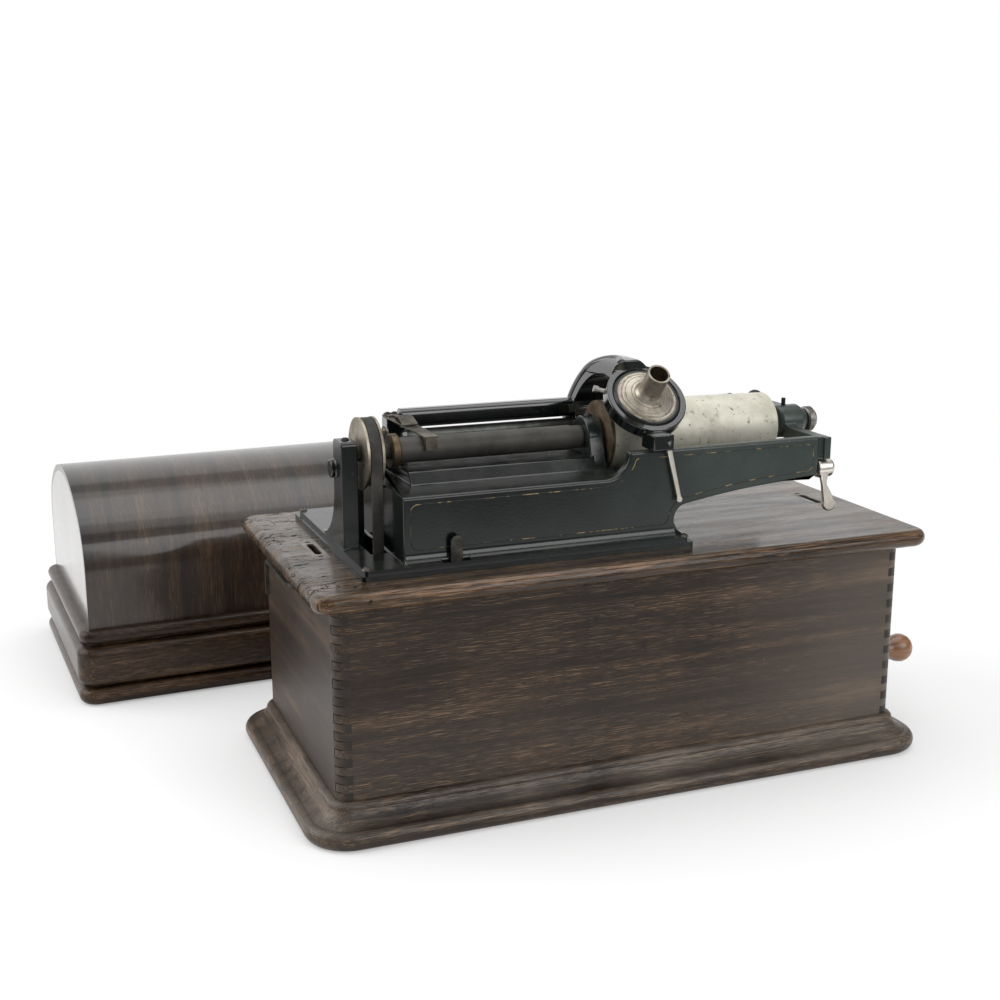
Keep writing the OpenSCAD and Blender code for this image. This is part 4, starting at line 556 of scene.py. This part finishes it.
finishes = {
    "bottom_board": oakAlongX, "base_moulding": oakBase, "front_panel": oakFront, "back_panel": oakAlongX,
    "left_panel": oakSide, "right_panel": oakSide, "top_board": oakBoard, "lid_shell": oakShell,
    "lid_ends": oakEndsGlare, "lid_frame": oakLidFrame, "crank_knob": gripWood,
    "bed_casting": japan, "carriage": japanBright, "end_gate": japan,
    "drive_pulley": pulleyMetal, "motor_pulley": pulleyMetal, "mandrel": mandrelNickel,
    "reproducer": discNickel, "reproducer_weight": nickel, "lift_lever": nickelClean,
    "gate_latch": nickelClean, "speed_screw": nickel, "crank": nickel, "crank_bush": nickel,
    "pillar_bush": dullBrass, "centre_bush": dullBrass, "carriage_bushes": dullBrass,
    "diaphragm_ring": dullBrass, "mid_arbor": dullBrass, "spring_barrel": dullBrass, "governor": dullBrass,
    "stylus_bar": dullBrass, "shaft_collar": brownBrass,
    "clamp_screw": steel, "mainspring": steel, "winding_arbor": steel, "pulley_arbor": steel,
    "crank_pinion": steel, "motor_hangers": steel, "lift_pin": steel, "centre_screw": steel,
    "thumb_strip": springSteel, "half_nut": springSteel, "nut_spring": springSteel,
    "slot_plates": plateSteel, "back_rod": rodSteel, "feed_screw": feedMetal, "mandrel_plate": brownPlate,
    "start_lever": leverIron, "side_wire": leverIron, "bed_screws": screwIron,
    "oil_screws": darkIron, "rod_screw": darkIron, "nut_screws": darkIron, "gate_pin": darkIron,
    "gate_set_screw": darkIron, "motor_frame": darkIron,
    "belt": leather, "brake_pad": leather, "diaphragm": diaphragmSheet,
}
for nodeName, material in finishes.items():
    wear(nodeName, material)
print("finishes on nodes:", len(finishes), "left plain:", sorted(set(nodes) - set(finishes)))


# Rounded copies of cast and forged pieces

low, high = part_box("bed_screws")
screwRoom = 0.0070
screwBoxes = [((x - screwRoom, y - screwRoom, low.z), (x + screwRoom, y + screwRoom, high.z))
              for x in (low.x, high.x) for y in (low.y, high.y)]

softLooks = {
    # widths of the rounding in metres
    # edges in the boxes of "where" get the broad width, those in the boxes of "keep" stay sharp
    "bed_casting": {"body": "case", "slot": "japan", "width": 0.0008, "broad": 0.0016,
                    "where": [((-0.160, -0.0753, 0.2005), (0.150, -0.0747, 0.2400))],
                    "keep": [((0.030, -0.090, 0.1672), (0.050, 0.100, 0.1760))] + screwBoxes},
    "carriage": {"body": "carriage", "slot": "japan", "width": 0.0008},
    "end_gate": {"body": "gate", "slot": "japan", "width": 0.0007},
    "gate_latch": {"body": "latch", "slot": "nickel", "width": 0.0009},
    "lift_lever": {"body": "lifter", "slot": "nickel", "width": 0.0004},
    "start_lever": {"body": "starter", "slot": "nickel", "width": 0.0004},
    "crank": {"body": "crank", "slot": "nickel", "width": 0.0006},
    "nut_spring": {"body": "carriage", "slot": "steel", "width": 0.0002},
    "thumb_strip": {"body": "carriage", "slot": "nickel", "width": 0.0002},
}
softAngle = math.radians(32.0)
flatAngle = math.radians(0.4)
sharpAngle = math.radians(50.0)
mergeGap = 0.00001


def addObject(name, mesh):
    piece = bpy.data.objects.new(name, mesh)
    bpy.context.scene.collection.objects.link(piece)
    return piece


def bake(piece):
    # the piece with its modifiers turned into a plain mesh
    bpy.context.view_layer.update()
    graph = bpy.context.evaluated_depsgraph_get()
    done = piece.evaluated_get(graph)
    plain = bpy.data.meshes.new_from_object(done, preserve_all_data_layers=True, depsgraph=graph)
    piece.modifiers.clear()
    piece.data = plain
    return piece


def within(place, boxes):
    return any(all(a <= p <= b for a, p, b in zip(low, place, high)) for low, high in boxes)


def softCopy(node):
    # a merged copy of the node with rounded edges
    look = softLooks[node]
    widest = look.get("broad", look["width"])
    source = nodes[node].data
    work = bmesh.new()
    places = [work.verts.new(v.co) for v in source.vertices]
    for face in source.polygons:
        work.faces.new([places[i] for i in face.vertices])
    bmesh.ops.remove_doubles(work, verts=work.verts, dist=mergeGap)
    bmesh.ops.dissolve_limit(work, angle_limit=flatAngle, verts=work.verts, edges=work.edges)
    weight = work.edges.layers.float.new("bevel_weight_edge")
    for edge in work.edges:
        middle = (edge.verts[0].co + edge.verts[1].co) / 2
        if edge.calc_face_angle(0.0) > softAngle and not within(middle, look.get("keep", [])):
            edge[weight] = 1.0 if within(middle, look.get("where", [])) else look["width"] / widest
    mesh = bpy.data.meshes.new(node + "_rounded")
    work.to_mesh(mesh)
    work.free()
    mesh.materials.append(finishes[node])
    piece = addObject(mesh.name, mesh)
    rounding = piece.modifiers.new("rounding", "BEVEL")
    rounding.width = widest
    rounding.segments = 2
    rounding.limit_method = "WEIGHT"
    rounding.use_clamp_overlap = False
    mesh.polygons.foreach_set("use_smooth", [True] * len(mesh.polygons))
    mesh.set_sharp_from_angle(angle=sharpAngle)
    level = piece.modifiers.new("level", "WEIGHTED_NORMAL")
    level.keep_sharp = True
    bake(piece)
    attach(piece, look["body"])
    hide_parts(node)


for nodeName in softLooks:
    softCopy(nodeName)
print("rounded copies:", len(softLooks))


# Turned grip of the crank

gripLooks = {
    # length from the arm and radius, in metres
    "profile": [(0.0, 0.0), (0.0, 0.0066), (0.0008, 0.0074), (0.0030, 0.0070), (0.0060, 0.0068),
                (0.0095, 0.0080), (0.0135, 0.0098), (0.0175, 0.0106), (0.0210, 0.0101), (0.0240, 0.0085),
                (0.0262, 0.0062), (0.0275, 0.0034), (0.0279, 0.0)],
    "around": 48,
}


def turnedGrip():
    low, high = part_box("crank_knob")
    y, z = (low.y + high.y) / 2, (low.z + high.z) / 2
    work = bmesh.new()
    outline = [work.verts.new((low.x + along, y, z + radius)) for along, radius in gripLooks["profile"]]
    edges = [work.edges.new(pair) for pair in zip(outline, outline[1:])]
    bmesh.ops.spin(work, geom=outline + edges, cent=(0.0, y, z), axis=(1.0, 0.0, 0.0), angle=math.tau,
                   steps=gripLooks["around"], use_merge=True)
    bmesh.ops.remove_doubles(work, verts=work.verts, dist=mergeGap)
    bmesh.ops.recalc_face_normals(work, faces=work.faces)
    mesh = bpy.data.meshes.new("turned_grip")
    work.to_mesh(mesh)
    work.free()
    mesh.materials.append(gripWood)
    mesh.polygons.foreach_set("use_smooth", [True] * len(mesh.polygons))
    piece = addObject(mesh.name, mesh)
    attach(piece, "grip")
    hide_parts("crank_knob")


turnedGrip()
print("grip turned")


# Geometry Nodes helper

class Tree:
    # one node group for a Geometry Nodes modifier
    def __init__(self, name, inputs):
        self.group = bpy.data.node_groups.new(name, "GeometryNodeTree")
        face = self.group.interface
        face.new_socket("Geometry", in_out="INPUT", socket_type="NodeSocketGeometry")
        self.names = {}
        for label, (kind, value) in inputs.items():
            socket = face.new_socket(label, in_out="INPUT", socket_type=kind)
            if value is not None:
                socket.default_value = value
            self.names[label] = socket.identifier
        face.new_socket("Geometry", in_out="OUTPUT", socket_type="NodeSocketGeometry")
        self.start = self.group.nodes.new("NodeGroupInput")
        self.end = self.group.nodes.new("NodeGroupOutput")

    def given(self, label):
        return self.start.outputs[label]

    def node(self, kind, settings=None, out=0, **sockets):
        made = self.group.nodes.new(kind)
        for key, value in (settings or {}).items():
            setattr(made, key, value)
        for key, value in sockets.items():
            socket = made.inputs[key.replace("_", " ")]
            if isinstance(value, bpy.types.NodeSocket):
                self.group.links.new(value, socket)
            else:
                socket.default_value = value
        return made.outputs[out]

    def finish(self, geometry):
        real = self.node("GeometryNodeRealizeInstances", Geometry=geometry)
        dressed = self.node("GeometryNodeSetMaterial", Geometry=real, Material=self.given("Material"))
        self.group.links.new(dressed, self.end.inputs[0])

    def apply(self, piece, values):
        grown = piece.modifiers.new("grown", "NODES")
        grown.node_group = self.group
        for label, value in values.items():
            grown[self.names[label]] = value
        return bake(piece)


# Gold lines on the casting

stripeLooks = {
    "width": 0.0009,
    "sunk": 0.00030,
    "inset": 0.0046,
    "corner": 0.0045,
    "step": 0.002,
    "sides": 12,
    "curveSteps": 12,
}


def arcPoints(middle, radius, first, last, count=7):
    # points in X and Z, angles in degrees
    turns = [math.radians(first + (last - first) * i / (count - 1)) for i in range(count)]
    return [(middle[0] + radius * math.cos(a), middle[1] + radius * math.sin(a)) for a in turns]


def lineTree():
    # a thin round line drawn along the edges of a mesh
    tree = Tree("line along a path", {
        "Width": ("NodeSocketFloat", stripeLooks["width"]),
        "Step": ("NodeSocketFloat", stripeLooks["step"]),
        "Material": ("NodeSocketMaterial", None),
    })
    path = tree.node("GeometryNodeMeshToCurve", Mesh=tree.given("Geometry"))
    even = tree.node("GeometryNodeResampleCurve", {"mode": "LENGTH"}, Curve=path, Length=tree.given("Step"))
    half = tree.node("ShaderNodeMath", {"operation": "MULTIPLY"})
    tree.group.links.new(tree.given("Width"), half.node.inputs[0])
    half.node.inputs[1].default_value = 0.5
    ring = tree.node("GeometryNodeCurvePrimitiveCircle", Resolution=stripeLooks["sides"], Radius=half)
    line = tree.node("GeometryNodeCurveToMesh", Curve=even, Profile_Curve=ring, Fill_Caps=True)
    tree.finish(line)
    return tree


castFace = {
    # places on the front of the casting, in metres
    "front": -0.0750, "left": -0.1526, "ledge": 0.2100, "foot": 0.1765, "sweepEnd": 0.0021,
    "railTop": 0.2268, "railEnd": 0.1458, "railLow": 0.1989, "bow": 0.0021,
    "bayX": 0.0456, "bayZ": 0.1789, "bayRadius": 0.0105,
}


def castingLine():
    # one closed line round the front: ledge, sweep, rail, bow of the rail's underside, bay, foot
    face, look = castFace, stripeLooks
    inset, corner, steps = look["inset"], look["corner"], look["curveSteps"]
    left, right = face["left"] + inset, face["railEnd"] - inset
    ledge, top, low = face["ledge"] - inset, face["railTop"] - inset, face["railLow"] + inset
    rise = face["railTop"] - face["ledge"]
    bayTop = face["bayZ"] + face["bayRadius"]
    bayLeft = face["bayX"] - face["bayRadius"] - inset
    bottom = face["foot"]
    points = arcPoints((left + corner, ledge - corner), corner, 180.0, 90.0)
    sweep = (face["sweepEnd"] - rise, face["railTop"])
    sweepTo = -math.degrees(math.asin(inset / (rise + inset)))
    points += arcPoints(sweep, rise + inset, -90.0, sweepTo, steps)
    points += arcPoints((right - corner, top - corner), corner, 90.0, 0.0)
    points += arcPoints((right - corner, low + corner), corner, 0.0, -90.0)
    for i in reversed(range(steps)):
        t = i / steps
        x = face["bayX"] + (right - corner - face["bayX"]) * t
        points.append((x, bayTop + (face["railLow"] - bayTop) * t + 4 * face["bow"] * t * (1 - t) + inset))
    points += arcPoints((face["bayX"], face["bayZ"]), face["bayRadius"] + inset, 90.0, 180.0)[1:]
    points += arcPoints((bayLeft - corner, bottom + corner), corner, 0.0, -90.0)
    points += arcPoints((left + corner, bottom + corner), corner, -90.0, -180.0)
    mesh = bpy.data.meshes.new("gold line")
    y = face["front"] + look["sunk"]
    count = len(points)
    mesh.from_pydata([(x, y, z) for x, z in points], [(i, (i + 1) % count) for i in range(count)], [])
    piece = addObject("gold_line", mesh)
    lineTree().apply(piece, {"Width": look["width"], "Step": look["step"], "Material": goldLine})
    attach(piece, "case")


castingLine()
print("gold line drawn")


# Bead round the arched arm of the carriage

beadLooks = {
    # sizes in metres, angles in degrees from the back over the top
    "axis": (-0.0200, 0.2284), "radius": 0.0502, "foot": 0.0026, "lean": 0.184, "from": 12.0, "to": 102.0,
    "top": (0.0221, 0.2665), "topRadius": 0.0124, "width": 0.0074, "step": 0.0015, "points": 31,
}


def archBead():
    # up the leaning side of the arch, then over its round top
    look = beadLooks
    (y0, z0), (topX, topZ) = look["axis"], look["top"]
    last = look["points"] - 1
    points = []
    for i in range(look["points"]):
        turn = math.radians(look["from"] + (look["to"] - look["from"]) * i / last)
        y, z = y0 + look["radius"] * math.cos(turn), z0 + look["radius"] * math.sin(turn)
        x = look["foot"] + (z - z0) * look["lean"]
        if z > topZ:
            x = topX - math.sqrt(max(look["topRadius"] ** 2 - (z - topZ) ** 2, 0.0))
        points.append((x, y, z))
    mesh = bpy.data.meshes.new("arch bead")
    mesh.from_pydata(points, [(i, i + 1) for i in range(last)], [])
    piece = addObject("arch_bead", mesh)
    lineTree().apply(piece, {"Width": look["width"], "Step": look["step"], "Material": japanBright})
    piece.data.polygons.foreach_set("use_smooth", [True] * len(piece.data.polygons))
    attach(piece, "carriage")


archBead()
print("arch beaded")


# Knurled head of the centre screw

knurlLooks = {
    "count": 44,
    "depth": 0.0009,
    "ridge": 0.00062,
    "length": 0.0040,
    "radius": 0.0086,
    "fromEnd": 0.0045,
}


def knurlTree():
    # bars in a ring round each point, the ring's axis along X
    tree = Tree("knurled ring", {
        "Count": ("NodeSocketInt", knurlLooks["count"]),
        "Radius": ("NodeSocketFloat", knurlLooks["radius"]),
        "Bar": ("NodeSocketVector", (0.001, 0.001, 0.001)),
        "Material": ("NodeSocketMaterial", None),
    })
    ring = tree.node("GeometryNodeMeshCircle", Vertices=tree.given("Count"), Radius=tree.given("Radius"))
    bar = tree.node("GeometryNodeMeshCube", Size=tree.given("Bar"))
    outward = tree.node("GeometryNodeInputPosition")
    turned = tree.node("FunctionNodeAlignRotationToVector", {"axis": "X"}, Vector=outward)
    bars = tree.node("GeometryNodeInstanceOnPoints", Points=ring, Instance=bar, Rotation=turned)
    across = tree.node("GeometryNodeTransform", Geometry=bars, Rotation=(0.0, math.radians(90.0), 0.0))
    placed = tree.node("GeometryNodeInstanceOnPoints", Points=tree.given("Geometry"), Instance=across)
    tree.finish(placed)
    return tree


def centreKnurl():
    look = knurlLooks
    low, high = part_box("centre_screw")
    mesh = bpy.data.meshes.new("centre knurl")
    mesh.from_pydata([(high.x - look["fromEnd"], (low.y + high.y) / 2, (low.z + high.z) / 2)], [], [])
    piece = addObject("centre_knurl", mesh)
    bar = (look["depth"], look["ridge"], look["length"])
    values = {"Count": look["count"], "Radius": look["radius"], "Bar": bar, "Material": steel}
    knurlTree().apply(piece, values)
    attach(piece, "centre")


centreKnurl()
print("centre screw knurled")


# Camera, floor and light

view = {
    # place in metres, angles in degrees, lens and sensor in millimetres
    "place": (-0.4097, -0.8924, 0.4170),
    "tilt": 90.0 - 13.667,
    "turn": -21.423,
    "roll": -0.04,
    "lens": 51.74,
    "sensor": 36.0,
}


def makeCamera():
    data = bpy.data.cameras.new("camera")
    data.lens = view["lens"]
    data.sensor_width = view["sensor"]
    camera = bpy.data.objects.new("camera", data)
    bpy.context.scene.collection.objects.link(camera)
    camera.location = view["place"]
    turned = Euler((math.radians(view["tilt"]), 0.0, math.radians(view["turn"])), "XYZ").to_matrix()
    rolled = turned @ Matrix.Rotation(math.radians(view["roll"]), 3, "Z")
    camera.rotation_euler = rolled.to_euler("XYZ")
    bpy.context.scene.camera = camera


studio = {
    "floorSize": 14.0,
    "floorColour": (0.95, 0.95, 0.95),
    # distances over which the floor turns white, and over which its reflection turns dark to the front
    "fade": (0.45, 1.2),
    "mirrorFade": (0.40, 0.95),
    "whiteShare": 0.3,
    # strength of the surroundings as light, and as seen in reflections
    "world": 0.62,
    "shine": 0.20,
    "card": {"place": (0.0, 2.6, 1.2), "size": (7.0, 3.2)},
    "left": {"place": (-1.9, 0.7, 1.35), "aim": (0.0, 0.0, 0.15), "size": (1.7, 1.7), "power": 26.0},
    "top": {"place": (0.1, 0.1, 2.3), "aim": (0.0, 0.1, 0.0), "size": (2.2, 2.2), "power": 15.0},
    "strip": {"place": (0.15, 0.45, 1.9), "aim": (0.0, 0.0, 0.2), "size": (2.2, 1.3), "power": 9.0},
    "front": {"place": (0.9, -2.1, 1.4), "aim": (0.0, 0.0, 0.15), "size": (1.6, 1.6), "power": 24.0},
}


def makeFloor():
    # white floor that keeps the shadow and turns to plain white further out
    half = studio["floorSize"] / 2
    mesh = bpy.data.meshes.new("floor")
    corners = [(-half, -half, 0), (half, -half, 0), (half, half, 0), (-half, half, 0)]
    mesh.from_pydata(corners, [], [(0, 1, 2, 3)])
    floor = addObject("floor", mesh)
    s = Shader("pale floor")
    near = s.node("ShaderNodeBsdfPrincipled", {}, Base_Color=studio["floorColour"], Roughness=0.9)
    away = s.node("ShaderNodeVectorMath", {"operation": "LENGTH"}, s.place(), out=1)
    camera = s.node("ShaderNodeLightPath", {})
    glossy = s.node("ShaderNodeLightPath", {}, out=3)
    ahead = (0.0 - s.axes()[1]).step(*studio["mirrorFade"])
    far = s.node("ShaderNodeEmission", {}, Strength=1.0,
                 Color=s.mix(ahead * glossy, (1.0, 1.0, 1.0), (studio["shine"],) * 3))
    white = away.step(*studio["fade"])
    share = white.max(studio["whiteShare"]) * camera + ahead.max(white) * glossy
    s.close(s.node("ShaderNodeMixShader", {}, share, near, far))
    mesh.materials.append(s.material)


def makeCard():
    # white card behind the object, seen only in reflections
    (x, y, z), (width, height) = studio["card"]["place"], studio["card"]["size"]
    mesh = bpy.data.meshes.new("card")
    corners = [(-1, -1), (1, -1), (1, 1), (-1, 1)]
    mesh.from_pydata([(x + a * width / 2, y, z + b * height / 2) for a, b in corners], [], [(0, 1, 2, 3)])
    card = addObject("card", mesh)
    s = Shader("white card")
    s.close(s.node("ShaderNodeEmission", {}, Color=(1.0, 1.0, 1.0), Strength=1.0))
    mesh.materials.append(s.material)
    card.visible_camera = False
    card.visible_diffuse = False
    card.visible_shadow = False


def makeLights():
    # soft lamps; the strip only adds highlights
    for name in ("left", "top", "strip", "front"):
        look = studio[name]
        data = bpy.data.lights.new(name, "AREA")
        data.shape = "RECTANGLE"
        data.size, data.size_y = look["size"]
        data.energy = look["power"]
        lamp = bpy.data.objects.new(name, data)
        bpy.context.scene.collection.objects.link(lamp)
        lamp.location = look["place"]
        lamp.visible_diffuse = name != "strip"
        aim = Vector(look["aim"]) - Vector(look["place"])
        lamp.rotation_euler = aim.to_track_quat("-Z", "Y").to_euler()


def makeWorld():
    # plain white to the camera, weaker as light, dark in reflections
    s = Shader("studio", world=True)
    camera = s.node("ShaderNodeLightPath", {})
    glossy = s.node("ShaderNodeLightPath", {}, out=3)
    light = glossy * (studio["shine"] - studio["world"]) + studio["world"]
    strength = light + camera * (1.0 - light)
    s.close(s.node("ShaderNodeBackground", {}, Color=(1.0, 1.0, 1.0), Strength=strength))
    bpy.context.scene.world = s.material


makeCamera()
makeFloor()
makeCard()
makeLights()
makeWorld()
bpy.context.scene.view_settings.view_transform = "Standard"
print("camera, floor and lights set")
